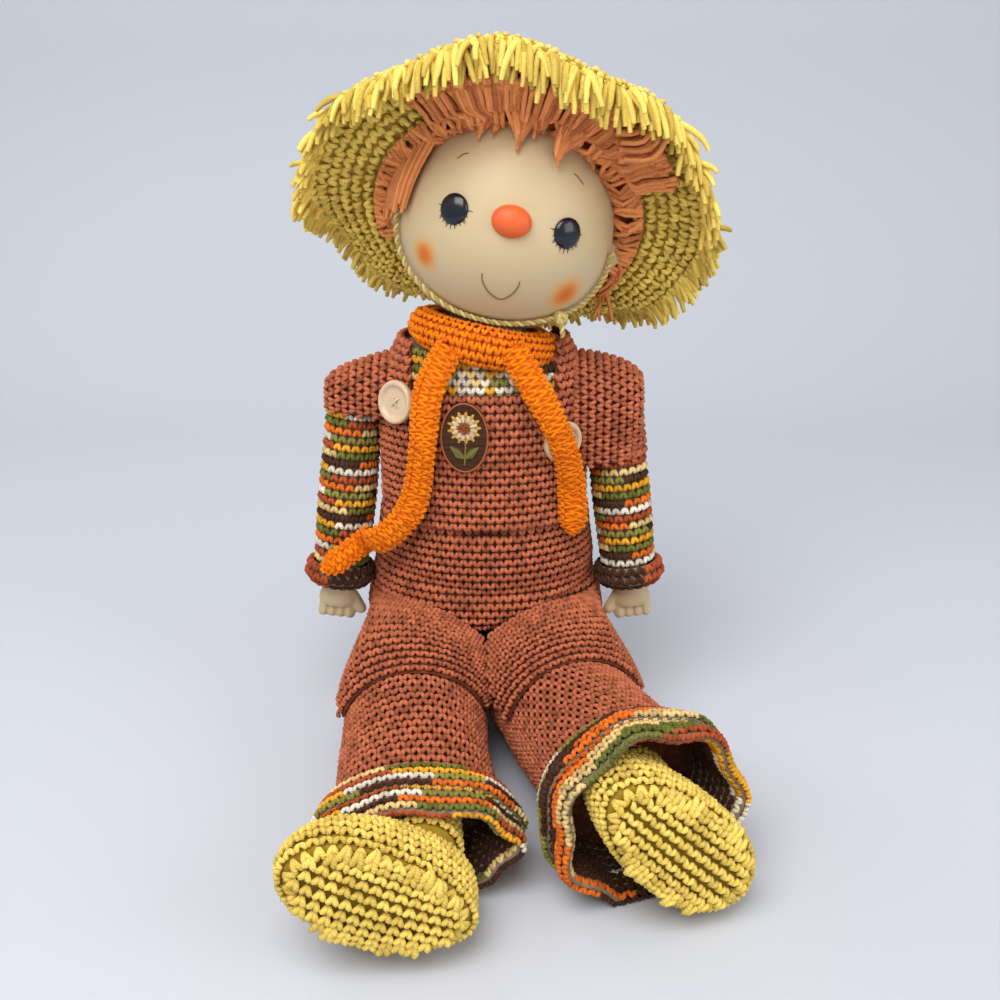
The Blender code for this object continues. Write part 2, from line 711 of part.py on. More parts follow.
def make_arm(side, sign):
    pivot = pivot_at(f"shoulder_{side}_pivot", shoulder(sign))
    run = Vector(wrist(sign)) - Vector(shoulder(sign))
    frame = limb_frame(shoulder(sign), run)
    length = run.length
    plane = "+x" if sign > 0 else "-x"
    outer_wall = FIT + SLEEVE_WALL
    inside = arm_stations(0, lambda reach: reach)
    core = limb_rings(frame, inside, (plane, ARM_PLANE_X + SLEEVE_WALL + FIT))
    arm = place(f"arm_{side}", loft(f"arm_{side}", core), "stuffing", pivot=pivot)
    stem_room = HAND_STEM_RADIUS + FIT
    depth = length - HAND_STEM_LENGTH - FIT
    hole = turned(f"stem_room_{side}", [(0, length + CUT_MARGIN), (stem_room, length + CUT_MARGIN),
                                        (stem_room, depth), (0, depth)], LIMB_STEPS)
    boolean(arm, cutter(f"stem_room_{side}", hole, frame))
    mouth = length - SLEEVE_CUFF_LENGTH
    lining = limb_rings(frame, arm_stations(FIT, lambda reach: mouth), (plane, ARM_PLANE_X + SLEEVE_WALL))
    cloth = limb_rings(frame, arm_stations(outer_wall, lambda reach: mouth), (plane, ARM_PLANE_X))
    place(f"sleeve_{side}", loft(f"sleeve_{side}", cloth, lining), "mixed_yarn", pivot=pivot)
    bore = WRIST_RADIUS + 2 * (WRIST_CORD_RADIUS + FIT)
    flare = bore + SLEEVE_WALL
    hem = [(length, flare + SLEEVE_CUFF_FLARE), (mouth + FIT, flare)]
    gap = [(length, bore + SLEEVE_CUFF_FLARE), (mouth + FIT, bore)]
    away = (plane, 0)
    cuff = loft(f"sleeve_cuff_{side}", limb_rings(frame, hem, away), limb_rings(frame, gap, away), True)
    place(f"sleeve_cuff_{side}", cuff, "dark_yarn", pivot=pivot)
    ring = WRIST_RADIUS + WRIST_CORD_RADIUS + FIT
    cord = torus_profile(ring, length - WRIST_RUN / 2, WRIST_CORD_RADIUS, 6)
    tie = turned(f"wrist_cord_{side}", cord, LIMB_STEPS, closed=True)
    place(f"wrist_cord_{side}", tie, "cord", frame, pivot)
    make_hand(side, sign, frame, length)


def finger(name, root, tip, radius):
    frame = limb_frame(root, Vector(tip) - Vector(root))
    length = (Vector(tip) - Vector(root)).length
    stations = [(0, radius), (length - radius, radius), (length - radius / 2, 0.8 * radius),
                (length, 0.4 * radius)]
    turns = [2 * math.pi * index / FINGER_STEPS for index in range(FINGER_STEPS)]
    rings = [
        [frame @ Vector((size * math.cos(turn), size * math.sin(turn), distance)) for turn in turns]
        for distance, size in stations
    ]
    return loft(name, rings)


def make_hand(side, sign, frame, length):
    pivot = pivot_at(f"wrist_{side}_pivot", wrist(sign))
    frame = frame @ Matrix.Rotation(-sign * math.pi / 2, 4, "Z")
    top = length + FIT
    stations = [
        (length - HAND_STEM_LENGTH, HAND_STEM_RADIUS, HAND_STEM_RADIUS),
        (top, HAND_STEM_RADIUS, HAND_STEM_RADIUS),
        (top + 0.2 * HAND_LENGTH, 0.8 * HAND_WIDTH / 2, HAND_THICKNESS / 2),
        (top + 0.5 * HAND_LENGTH, HAND_WIDTH / 2, HAND_THICKNESS / 2),
        (top + HAND_LENGTH - FINGER_LENGTH, 0.9 * HAND_WIDTH / 2, 0.8 * HAND_THICKNESS / 2),
    ]
    turns = [2 * math.pi * index / LIMB_STEPS for index in range(LIMB_STEPS)]
    rings = [
        [Vector((thick * math.cos(turn), wide * math.sin(turn), distance)) for turn in turns]
        for distance, wide, thick in stations
    ]
    hand = place(f"hand_{side}", loft(f"hand_{side}", rings), "vinyl", frame, pivot)
    knuckle = top + HAND_LENGTH - FINGER_LENGTH - FINGER_RADIUS
    tip = top + HAND_LENGTH
    reach = HAND_WIDTH / 2 - FINGER_RADIUS
    for index, offset in enumerate(spread(-reach, reach, FINGERS)):
        name = f"finger_{side}_{index}"
        mesh = finger(name, (0, 0.9 * offset, knuckle), (0, offset, tip), FINGER_RADIUS)
        boolean(hand, cutter(name, mesh, frame), "UNION")
    root = (0, -HAND_WIDTH / 2 + FINGER_RADIUS, top + 0.35 * HAND_LENGTH)
    end = (0, -HAND_WIDTH / 2 - FINGER_RADIUS, top + 0.35 * HAND_LENGTH + THUMB_LENGTH)
    name = f"thumb_{side}"
    boolean(hand, cutter(name, finger(name, root, end, FINGER_RADIUS), frame), "UNION")


def hip(sign):
    return (sign * LEG_X, LEG_AXIS_Y, LEG_AXIS_Z)


def value_at(line, distance):
    """The value on a line of (distance, value) points, level past its ends."""
    for (start, first), (end, last) in zip(line, line[1:]):
        if distance < end:
            return first + (last - first) * max(distance - start, 0) / (end - start)
    return line[-1][1]


def leg_stations(shrink, end, end_radius):
    body = [
        (end, end_radius - shrink),
        (LEG_LENGTH * KNEE_SHARE, KNEE_RADIUS - shrink),
        (LEG_LENGTH * KNEE_SHARE / 2, (KNEE_RADIUS + LEG_RADIUS) / 2 - shrink),
    ]
    return [*body, *dome(LEG_RADIUS - shrink)]


def make_leg(side, sign, splay):
    pivot = pivot_at(f"hip_{side}_pivot", hip(sign))
    rise = CUFF_MOUTH_RADIUS + CUFF_WALL - CUFF_SAG - LEG_AXIS_Z
    turn = math.radians(splay) * sign
    run = Vector((math.sin(turn) * LEG_LENGTH, -math.cos(turn) * LEG_LENGTH, rise))
    shoe_frame = limb_frame(hip(sign), run)
    pressed = side == "right"
    if pressed:
        run.z = LEG_PRESSED_RISE
    frame = limb_frame(hip(sign), run)
    wall = TROUSER_WALL + FIT
    hem = LEG_LENGTH - CUFF_LENGTH
    ankle_end = LEG_LENGTH + SHOE_STAND_OFF + SHOE_SHIFT[side][2] + ANKLE_PLUG
    ankle = [(ankle_end, ANKLE_RADIUS), (hem, ANKLE_RADIUS)]
    core = [*ankle, *leg_stations(wall, hem - ANKLE_TAPER, KNEE_RADIUS)]

    def seated(distance):
        """A seated leg is wider than tall, and its cuff comes back to a round mouth."""
        share = max(0, (distance - hem) / CUFF_LENGTH)
        return LEG_WIDTH_RATIO + (1 - LEG_WIDTH_RATIO) * min(share, 1)

    def filled(distance):
        return LEG_WIDTH_RATIO if distance < hem else 1

    def height_share(distance):
        return value_at(LEG_PRESSED, distance) if pressed else 1

    def filled_height(distance):
        return height_share(distance) if distance < hem else 1

    mesh = loft(f"leg_{side}", limb_rings(frame, core, ("z", wall), wide=filled, tall=filled_height))
    place(f"leg_{side}", mesh, "stuffing", pivot=pivot)
    cloth = limb_rings(frame, leg_stations(0, hem, CUFF_ROOT_RADIUS), ("z", 0), wide=seated, tall=height_share)
    inside = leg_stations(TROUSER_WALL, hem, CUFF_ROOT_RADIUS)
    lining = limb_rings(frame, inside, ("z", TROUSER_WALL), wide=seated, tall=height_share)
    place(f"trouser_leg_{side}", loft(f"trouser_leg_{side}", cloth, lining), "brown_yarn", pivot=pivot)

    def ruffle(distance, angle):
        share = (distance - hem) / CUFF_LENGTH
        return CUFF_WAVE * share * math.cos(CUFF_WAVES * angle)

    middle = hem + CUFF_LENGTH / 2
    flare = (CUFF_ROOT_RADIUS + CUFF_MOUTH_RADIUS) / 2 + CUFF_BELL
    lines = [(LEG_LENGTH, CUFF_MOUTH_RADIUS), (middle, flare), (hem + FIT, CUFF_ROOT_RADIUS)]
    outer = [(distance, radius + CUFF_WALL) for distance, radius in lines]
    cuff = loft(f"trouser_cuff_{side}", limb_rings(frame, outer, ("z", 0), ruffle, seated, height_share),
                limb_rings(frame, lines, ("z", CUFF_WALL), ruffle, seated, height_share), True)
    place(f"trouser_cuff_{side}", cuff, "mixed_yarn", pivot=pivot)
    make_shoe(side, shoe_frame, frame, ankle_end, pivot)


def make_shoe(side, frame, leg_frame, ankle_end, pivot):
    """A stuffed crochet shoe on the end of the leg, with its sole facing away from the knee."""
    toe_up, point_toe = SHOE_POSE[side]
    swing = Matrix.Rotation(math.radians(toe_up), 4, "Z") @ Matrix.Rotation(math.radians(point_toe), 4, "Y")
    start = Vector((0, 0, LEG_LENGTH + SHOE_STAND_OFF))
    ankle = frame @ Matrix.Translation(start + Vector(SHOE_SHIFT[side])) @ swing
    turns = [2 * math.pi * index / LIMB_STEPS for index in range(LIMB_STEPS)]

    def outline(height, share, lead):
        centre = (SHOE_LENGTH / 2 - SHOE_HEEL_BACK) * lead
        ring = []
        for turn in turns:
            wide = SHOE_WIDTH / 2 * (1 + SHOE_TOE_SPREAD * math.cos(turn))
            ahead = centre + SHOE_LENGTH / 2 * share * math.cos(turn)
            point = ankle @ Vector((ahead, wide * share * math.sin(turn), height))
            point.z = max(point.z, 0)
            ring.append(point)
        return ring

    shape = ((0, 0.50, 0.15), (0.15, 0.66, 0.40), (0.45, 0.88, 0.80), (0.75, 1.0, 1.0), (1.0, 0.96, 1.0))
    rings = [outline(SHOE_HEIGHT * rise, share, lead) for rise, share, lead in shape]
    upper = place(f"shoe_{side}", loft(f"shoe_{side}", rings), "straw_yarn", pivot=pivot)
    room = ANKLE_RADIUS + FIT
    depth = ankle_end + FIT
    ends = [(0, depth), (room, depth), (room, 0), (0, 0)]
    boolean(upper, cutter(f"ankle_room_{side}", turned(f"ankle_room_{side}", ends, LIMB_STEPS), leg_frame))
    under = SHOE_HEIGHT + FIT
    edge = [outline(under, 0.93, 1.0), outline(under + SOLE_THICKNESS / 2, 0.96, 1.0),
            outline(under + SOLE_THICKNESS, 0.88, 1.0)]
    place(f"shoe_sole_{side}", loft(f"shoe_sole_{side}", edge), "straw_yarn", pivot=pivot)


# Head, hair and hat
def head_line(grow, low_radius, points=7):
    """The head's outer side as (radius, z), from its crown down to the neck."""
    radius = HEAD_RADIUS + grow
    crown = HEAD_TOP + CHEEK_DROP + grow
    jaw = HEAD_BOTTOM - CHEEK_DROP + grow
    upper = [math.pi / 2 * step for step in spread(0, 1, points)]
    line = [(radius * math.sin(turn), -CHEEK_DROP + crown * math.cos(turn)) for turn in upper]
    last = math.acos(min(low_radius / radius, 1))
    lower = [last * step for step in spread(0, 1, points)][1:]
    line += [(radius * math.cos(turn), -CHEEK_DROP - jaw * math.sin(turn)) for turn in lower]
    return line


def head_radius(height):
    return width_at(head_line(0, NECK_RADIUS), height)


def on_head(turn, height, lift):
    """A point on the head at an angle from the face, towards the left ear, and a height."""
    radius = head_radius(height)
    point = Vector((radius * math.sin(turn), -radius * math.cos(turn), height))
    out = (point - Vector((0, 0, -CHEEK_DROP))).normalized()
    return point + out * lift


def make_head():
    pivot = pivot_at("neck_pivot", HEAD_FRAME @ Vector((0, 0, -NECK_BOTTOM)))
    outside = head_line(0, NECK_RADIUS)
    lip = -NECK_BOTTOM + FLANGE_THICKNESS
    neck = [(NECK_RADIUS, lip), (FLANGE_RADIUS, lip), (FLANGE_RADIUS, -NECK_BOTTOM),
            (NECK_HOLE_RADIUS, -NECK_BOTTOM)]
    inside = head_line(-HEAD_WALL, NECK_HOLE_RADIUS)
    shell = turned("vinyl_head", [*outside, *neck, *reversed(inside)], HEAD_STEPS)
    head = place("vinyl_head", shell, "vinyl", HEAD_FRAME, pivot)
    ear_rooms = []
    for side, sign in SIDES:
        centre = (sign * HEAD_RADIUS, 0, EAR_Z)
        ear = ellipsoid(f"ear_{side}", (EAR_WIDTH, EAR_DEPTH / 2, EAR_HEIGHT / 2), centre)
        tool = cutter(f"ear_{side}", ear, HEAD_FRAME)
        boolean(head, tool, "UNION")
        around_ear = (EAR_WIDTH + FIT, EAR_DEPTH / 2 + FIT, EAR_HEIGHT / 2 + FIT)
        room = ellipsoid(f"ear_room_{side}", around_ear, centre)
        ear_rooms.append(cutter(f"ear_room_{side}", room, HEAD_FRAME))
    hollow = turned("head_hollow", [*inside, (0, inside[-1][1])], HEAD_STEPS)
    boolean(head, cutter("head_hollow", hollow, HEAD_FRAME))
    clear_line = head_line(FIT, NECK_RADIUS)
    solid = turned("head_clear", [*clear_line, (0, clear_line[-1][1])], HEAD_STEPS)
    clear = cutter("head_clear", solid, HEAD_FRAME)
    make_face(clear, pivot)
    make_hair([clear, *ear_rooms], pivot)
    make_hat(pivot)
    make_chin_tie(clear, pivot)


def make_face(clear, pivot):
    for side, sign in SIDES:
        turn = math.asin(sign * EYE_X / head_radius(EYE_Z))
        centre = on_head(turn, EYE_Z, 0)
        mesh = ellipsoid(f"eye_{side}", (EYE_RADIUS, EYE_BULGE, EYE_RADIUS))
        frame = HEAD_FRAME @ Matrix.Translation(centre) @ Matrix.Rotation(turn, 4, "Z")
        boolean(place(f"eye_{side}", mesh, "eye", frame, pivot), clear)
    nose = ellipsoid("nose", (NOSE_HALF_WIDTH, NOSE_BULGE, NOSE_HALF_HEIGHT))
    frame = HEAD_FRAME @ Matrix.Translation(on_head(0, NOSE_Z, 0))
    boolean(place("nose", nose, "nose", frame, pivot), clear)


def lock(name, points, width, thickness):
    """A tapering lock of yarn through points in the head's own frame."""
    path = [Vector(point) for point in smooth_through(points, 2 * len(points))]
    rings = []
    for index, point in enumerate(path):
        ahead = path[min(index + 1, len(path) - 1)]
        behind = path[max(index - 1, 0)]
        run = (ahead - behind).normalized()
        out = Vector((point.x, point.y, 0)).normalized()
        across = run.cross(out).normalized()
        out = across.cross(run).normalized()
        share = 1 - LOCK_TAPER * index / (len(path) - 1)
        turns = [2 * math.pi * step / 10 for step in range(10)]
        rings.append([
            point + across * (width / 2 * share * math.cos(turn)) + out * (thickness / 2 * math.sin(turn))
            for turn in turns
        ])
    return loft(name, rings)


def make_hair(head_room, pivot):
    radius = HAT_ROOT_RADIUS - HAT_WALL - FIT
    arc = [math.pi / 2 * step for step in spread(0, 1, 7)]
    profile = [(radius * math.sin(turn), radius * math.cos(turn)) for turn in arc]
    cap = place("hair_cap", turned("hair_cap", [*profile, (0, 0)]), "hair", HAT_FRAME, pivot)
    for tool in head_room:
        boolean(cap, tool)
    crown = HAT_ROOT_RADIUS + FIT
    under = BRIM_WALL + FIT
    dome_line = [(crown * math.sin(turn), crown * math.cos(turn)) for turn in arc]
    room = turned("hat_room", [*dome_line, (crown, -under), (0, -under)])
    locks_room = [*head_room, cutter("hat_room", room, HAT_FRAME)]
    lift = LOCK_THICKNESS / 2 + FIT
    for index, spot in enumerate(spread(-FRINGE_SPREAD / 2, FRINGE_SPREAD / 2, FRINGE_LOCKS)):
        turn = math.radians(spot)
        drop = FRINGE_DROP * (1 + FRINGE_UNEVEN * math.cos(FRINGE_RHYTHM * index))
        heights = spread(FRINGE_TOP_Z, FRINGE_TOP_Z - drop, 4)
        points = [on_head(turn, height, lift) for height in heights]
        make_lock(f"hair_fringe_{index + 1}", points, FRINGE_WIDTH, locks_room, pivot)
    for side, sign in SIDES:
        turn = math.radians(sign * SIDE_LOCK_ANGLE)
        heights = spread(SIDE_LOCK_TOP_Z, SIDE_LOCK_BOTTOM_Z, 5)
        points = [on_head(turn, height, lift) for height in heights]
        make_lock(f"hair_side_{side}", points, SIDE_LOCK_WIDTH, locks_room, pivot)


def make_lock(name, points, width, rooms, pivot):
    part = place(name, lock(name, points, width, LOCK_THICKNESS), "hair", HEAD_FRAME, pivot)
    for tool in rooms:
        boolean(part, tool)


def brim_edge(angle, radius, share):
    """A point of the brim in the hat's frame. Its low back sweeps away from the shoulders."""
    low = max(0, -math.sin(angle))
    reach = radius - (BRIM_RADIUS - BRIM_RADIUS_LOW) * low * share
    lift = (BRIM_SWEEP_BACK + BRIM_FORWARD) * low - BRIM_FORWARD
    wave = BRIM_WAVE * math.cos(BRIM_WAVES * angle)
    return Vector((reach * math.cos(angle), -reach * math.sin(angle), share**2 * (lift + wave)))


def around(name, sections):
    """A closed ring through sections of points."""
    shape = bmesh.new()
    loops = [[shape.verts.new(point) for point in section] for section in sections]
    for first, second in zip(loops, loops[1:] + loops[:1]):
        bridge(shape, first, second)
    mesh = bpy.data.meshes.new(name)
    shape.to_mesh(mesh)
    shape.free()
    return outward(mesh)


def brim_section(angle, radii, wall):
    """One cut through the brim: out along its upper side and back along its under side."""
    upper = []
    for radius in radii:
        share = (radius - HAT_ROOT_RADIUS) / (BRIM_RADIUS - HAT_ROOT_RADIUS)
        upper.append(brim_edge(angle, radius, share))
    step = Vector((0, 0, wall))
    return [*upper, *[point - step for point in reversed(upper)]]


def make_hat(pivot):
    arc = [math.pi / 2 * step for step in spread(0, 1, 7)]
    outer = [(HAT_ROOT_RADIUS * math.sin(turn), HAT_ROOT_RADIUS * math.cos(turn)) for turn in arc]
    inner_radius = HAT_ROOT_RADIUS - HAT_WALL
    inner = [(inner_radius * math.sin(turn), inner_radius * math.cos(turn)) for turn in arc]
    crown = turned("hat_crown", [*outer, *reversed(inner)])
    place("hat_crown", crown, "straw_yarn", HAT_FRAME, pivot)
    angles = [2 * math.pi * index / BRIM_STEPS for index in range(BRIM_STEPS)]
    radii = spread(HAT_ROOT_RADIUS + FIT, BRIM_RADIUS, 3)
    brim = around("hat_brim", [brim_section(angle, radii, BRIM_WALL) for angle in angles])
    place("hat_brim", brim, "straw_yarn", HAT_FRAME, pivot)
    ends = []
    for index, angle in enumerate(angles):
        tip = FRINGE_STRAND_LENGTH * (1 - FRINGE_UNEVEN * (index % 2))
        ends.append(brim_section(angle, (BRIM_RADIUS + FIT, BRIM_RADIUS + FIT + tip), FRINGE_STRAND_WALL))
    place("hat_fringe", around("hat_fringe", ends), "straw_yarn", HAT_FRAME, pivot)


def make_chin_tie(clear, pivot):
    lift = TIE_RADIUS + FIT
    knot_turn = math.radians(TIE_KNOT_ANGLE)
    knot_at = on_head(knot_turn, TIE_BOTTOM_Z, TIE_KNOT_RADIUS * 0.8)
    size = TIE_KNOT_RADIUS + FIT
    knot_room = cutter("knot_room", ellipsoid("knot_room", (size, size, size), knot_at), HEAD_FRAME)
    for side in TIE_ROUTES:
        stations = smooth_through(TIE_ROUTES[side], 4 * len(TIE_ROUTES[side]))
        points = [on_head(math.radians(turn), height, lift) for turn, height in stations]
        tie = place(f"hat_tie_{side}", cord_tube(f"hat_tie_{side}", points, TIE_RADIUS), "tie_yarn",
                    HEAD_FRAME, pivot)
        boolean(tie, knot_room)
        boolean(tie, clear)
    knot = ellipsoid("hat_tie_knot", (TIE_KNOT_RADIUS,) * 3, knot_at, 12)
    bow = place("hat_tie_knot", knot, "tie_yarn", HEAD_FRAME, pivot)
    boolean(bow, clear)
    hang = [knot_at, knot_at + Vector((0.3, -0.4, -0.6)) * TIE_TAIL_LENGTH,
            knot_at + Vector((0.4, -0.4, -1.0)) * TIE_TAIL_LENGTH]
    tail = cord_tube("tie_tail", hang, TIE_RADIUS)
    boolean(bow, cutter("tie_tail", tail, HEAD_FRAME), "UNION")


def cord_tube(name, points, radius):
    """A round cord along points, made a closed mesh."""
    curve = bpy.data.curves.new(name, "CURVE")
    curve.dimensions = "3D"
    curve.bevel_depth = radius
    curve.bevel_resolution = 1
    curve.use_fill_caps = True
    line = curve.splines.new("POLY")
    line.points.add(len(points) - 1)
    for spot, point in zip(line.points, points):
        spot.co = (*point, 1)
    guide = bpy.data.objects.new(name, curve)
    bpy.context.scene.collection.objects.link(guide)
    graph = bpy.context.evaluated_depsgraph_get()
    mesh = bpy.data.meshes.new_from_object(guide.evaluated_get(graph))
    bpy.data.objects.remove(guide)
    return outward(mesh)


clear_scene()
PARTS = collection("scarecrow_figure")
CUTTERS = collection("cutters")
make_torso()
chest = chest_cutter()
make_trim(chest)
make_scarf(chest)
for limb_side, limb_sign in SIDES:
    make_arm(limb_side, limb_sign)
    make_leg(limb_side, limb_sign, LEG_SPLAY_LEFT if limb_sign > 0 else LEG_SPLAY_RIGHT)
make_head()
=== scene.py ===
import math

import bmesh
import bpy
import numpy as np
from mathutils import Euler, Matrix, Vector


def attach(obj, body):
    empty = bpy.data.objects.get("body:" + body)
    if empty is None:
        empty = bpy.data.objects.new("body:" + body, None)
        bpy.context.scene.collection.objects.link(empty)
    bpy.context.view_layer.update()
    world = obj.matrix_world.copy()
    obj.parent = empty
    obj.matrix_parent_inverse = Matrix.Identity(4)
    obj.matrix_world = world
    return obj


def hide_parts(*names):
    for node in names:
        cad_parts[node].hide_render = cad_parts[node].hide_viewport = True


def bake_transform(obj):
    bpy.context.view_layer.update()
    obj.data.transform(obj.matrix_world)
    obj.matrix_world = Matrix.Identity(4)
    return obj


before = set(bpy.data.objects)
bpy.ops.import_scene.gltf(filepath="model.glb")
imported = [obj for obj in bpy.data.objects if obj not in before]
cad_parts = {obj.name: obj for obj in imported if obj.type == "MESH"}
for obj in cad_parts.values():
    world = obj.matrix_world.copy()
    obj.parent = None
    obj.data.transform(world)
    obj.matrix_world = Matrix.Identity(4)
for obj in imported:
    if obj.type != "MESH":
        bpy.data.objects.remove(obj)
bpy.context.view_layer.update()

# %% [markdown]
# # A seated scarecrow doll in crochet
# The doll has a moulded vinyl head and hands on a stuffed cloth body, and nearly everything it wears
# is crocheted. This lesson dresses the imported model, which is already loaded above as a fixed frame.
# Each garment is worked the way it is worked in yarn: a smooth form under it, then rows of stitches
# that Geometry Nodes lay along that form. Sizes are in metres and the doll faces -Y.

SCENE = bpy.context.scene
SIDES = (("right", -1), ("left", 1))
TURN = 2 * math.pi


def add(name, data):
    """A new object in the scene."""
    made = bpy.data.objects.new(name, data)
    SCENE.collection.objects.link(made)
    return made


def feed(owner, values):
    """Give a node's inputs plain values, or join them to the outputs of other nodes."""
    for name, value in values.items():
        socket = owner.inputs[name]
        for part in value if isinstance(value, list) else [value]:
            if isinstance(part, bpy.types.NodeSocket):
                owner.id_data.links.new(part, socket)
            elif socket.type == "RGBA":
                socket.default_value = (*part, 1)
            else:
                socket.default_value = part


def new_material(name, values):
    """A material, its node tree and its shader with some inputs set."""
    made = bpy.data.materials.new(name)
    made.use_nodes = True
    shader = made.node_tree.nodes["Principled BSDF"]
    feed(shader, values)
    return made, made.node_tree, shader


# %% [markdown]
# ## Camera, light and floor
# The photograph looks down a little from in front, so the vertical lines of the doll lean together.
# A camera with the same height, pitch and lens gives the same lean. The light is a soft box: a pale
# world, one broad lamp above and a weaker one from the side, so that the yarn keeps its shadows.

# %% Camera
CAMERA_PLACE = (0.0075, -0.500, 0.330)
CAMERA_PITCH = 23.1
CAMERA_LENS = 40.97
SENSOR_WIDTH = 36
NEAREST = 0.01

camera = add("camera", bpy.data.cameras.new("camera"))
camera.data.lens = CAMERA_LENS
camera.data.sensor_width = SENSOR_WIDTH
camera.data.clip_start = NEAREST
camera.location = CAMERA_PLACE
camera.rotation_euler = (math.radians(90 - CAMERA_PITCH), 0, 0)
SCENE.camera = camera
SCENE.view_settings.view_transform = "Standard"
print("camera", CAMERA_PLACE, "lens", CAMERA_LENS)

# %% Light
# Each lamp: its place, its size and its power
LAMPS = {
    "soft_box": ((-0.25, -0.55, 1.05), 0.80, 11.0),
    "side_fill": ((0.95, -0.60, 0.55), 0.70, 3.8),
    "back_edge": ((-0.50, 0.75, 0.95), 0.60, 4.0),
}
LAMP_AIM = Vector((0, -0.04, 0.15))
WORLD_COLOUR = (0.97, 0.98, 1.0)
WORLD_STRENGTH = 0.58

for lamp_name, (lamp_place, lamp_size, lamp_power) in LAMPS.items():
    lamp = add(lamp_name, bpy.data.lights.new(lamp_name, "AREA"))
    lamp.data.size = lamp_size
    lamp.data.energy = lamp_power
    lamp.location = lamp_place
    lamp.rotation_euler = (LAMP_AIM - Vector(lamp_place)).to_track_quat("-Z", "Y").to_euler()
world = bpy.data.worlds.new("soft_box_walls")
world.use_nodes = True
feed(world.node_tree.nodes["Background"], {"Color": WORLD_COLOUR, "Strength": WORLD_STRENGTH})
SCENE.world = world
print("lamps:", ", ".join(LAMPS))

# %% Floor that curves up into a backdrop
FLOOR_HALF = 1.6
FLOOR_BACK = 0.42
FLOOR_CURVE = 0.30
FLOOR_STEPS = 12
FLOOR_TOP = 1.5
FLOOR_COLOUR = (0.56, 0.58, 0.63)


def make_floor():
    line = [(-FLOOR_HALF, 0.0), (FLOOR_BACK, 0.0)]
    for step in range(1, FLOOR_STEPS + 1):
        turn = math.pi / 2 * step / FLOOR_STEPS
        line.append((FLOOR_BACK + FLOOR_CURVE * math.sin(turn), FLOOR_CURVE * (1 - math.cos(turn))))
    line.append((FLOOR_BACK + FLOOR_CURVE, FLOOR_TOP))
    points = [(side, y, z) for y, z in line for side in (-FLOOR_HALF, FLOOR_HALF)]
    faces = [(2 * i, 2 * i + 1, 2 * i + 3, 2 * i + 2) for i in range(len(line) - 1)]
    mesh = bpy.data.meshes.new("pale_sweep")
    mesh.from_pydata(points, [], faces)
    mesh.shade_smooth()
    mesh.materials.append(new_material("pale_paper", {"Base Color": FLOOR_COLOUR, "Roughness": 0.8})[0])
    add("pale_sweep", mesh)


make_floor()

# %% [markdown]
# ## Forms under the yarn
# A garment takes the shape of what fills it. The torso, a limb, a shoe and the hat are each a form
# with two directions: u goes once round a row and v goes from the first row to the last. A form is a
# plain function that gives points for many u at one v, so the same function can be sampled for a
# smooth lining and for the place of every stitch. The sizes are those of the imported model.

# %% Sizes of the torso and smooth curves
TORSO_Y = 0.0075
TORSO_DEPTH_RATIO = 0.70
# Each station: half width and height
TORSO_STATIONS = [(0.0330, 0.1940), (0.0448, 0.1660), (0.0450, 0.1300), (0.0490, 0.0860), (0.0530, 0.0380),
                  (0.04867, 0.0160), (0.0400, 0.0)]
WAIST_SEAM_Z = 0.112
OVERALL_OUT = 0.0039
SHIRT_OUT = 0.0031
BIB_OUT = 0.0069


def smooth_through(stations, count):
    """Points of a smooth curve through the stations."""
    spots = np.array(stations, float)
    steps = np.linspace(0, len(spots) - 1, count)
    index = np.minimum(steps.astype(int), len(spots) - 2)
    part = (steps - index)[:, None]
    a = spots[np.maximum(index - 1, 0)]
    b = spots[index]
    c = spots[index + 1]
    d = spots[np.minimum(index + 2, len(spots) - 1)]
    bend = (2 * a - 5 * b + 4 * c - d) * part**2 + (3 * b - a - 3 * c + d) * part**3
    return 0.5 * (2 * b + (c - a) * part + bend)


def unit(rows):
    return rows / np.maximum(np.linalg.norm(rows, axis=-1, keepdims=True), 1e-12)


def run_along(path):
    """The length of a path up to each of its points."""
    return np.concatenate([[0], np.cumsum(np.linalg.norm(np.diff(path, axis=0), axis=-1))])


def at_share(line, v, run=None):
    """The values of a line's columns at a share of its own length."""
    run = run_along(line) if run is None else run
    return [np.interp(v * run[-1], run, column) for column in np.transpose(line)]


TORSO_LINE = smooth_through(TORSO_STATIONS, 4 * len(TORSO_STATIONS))


def torso_width(height, out):
    """Half width of the torso at a height, grown outwards by a layer of cloth."""
    run = unit(np.gradient(TORSO_LINE, axis=0))
    width = TORSO_LINE[:, 0] - run[:, 1] * out
    level = TORSO_LINE[:, 1] + run[:, 0] * out
    return np.interp(height, level[::-1], width[::-1])


def torso_point(turn, height, out):
    """Points of a layer on the torso. Turn 0 is the middle of the front, and a quarter is its left side."""
    width = torso_width(height, out)
    x = width * np.sin(turn)
    y = TORSO_Y - TORSO_DEPTH_RATIO * width * np.cos(turn)
    return np.stack([x, y, np.zeros_like(x) + height], axis=-1)


def chest_y(x, height, out):
    """How far forward a layer on the chest is."""
    width = torso_width(height, out)
    return TORSO_Y - TORSO_DEPTH_RATIO * np.sqrt(np.maximum(width**2 - np.asarray(x) ** 2, 0))


print("torso half width at the waist seam:", round(float(torso_width(WAIST_SEAM_Z, 0)), 4))

# %% Frames of the limbs, the head and the hat
HIP_X, HIP_Y, HIP_Z = 0.0340, -0.0340, 0.0304
LEG_LENGTH = 0.1080
LEG_RISE = {"right": -0.0060, "left": 0.0062}
SHOE_RISE = 0.0062
LEG_SPLAY = {"right": -5.0, "left": 19.0}
SHOULDER = (0.0595, 0.0080, 0.1660)
WRIST = (0.0708, -0.0020, 0.0770)
HEAD_CENTRE = (0.0115, 0.0140, 0.2500)
HEAD_LEAN = 12.0
HEAD_NOD = -8.0
HAT_TIP_BACK = 50.0


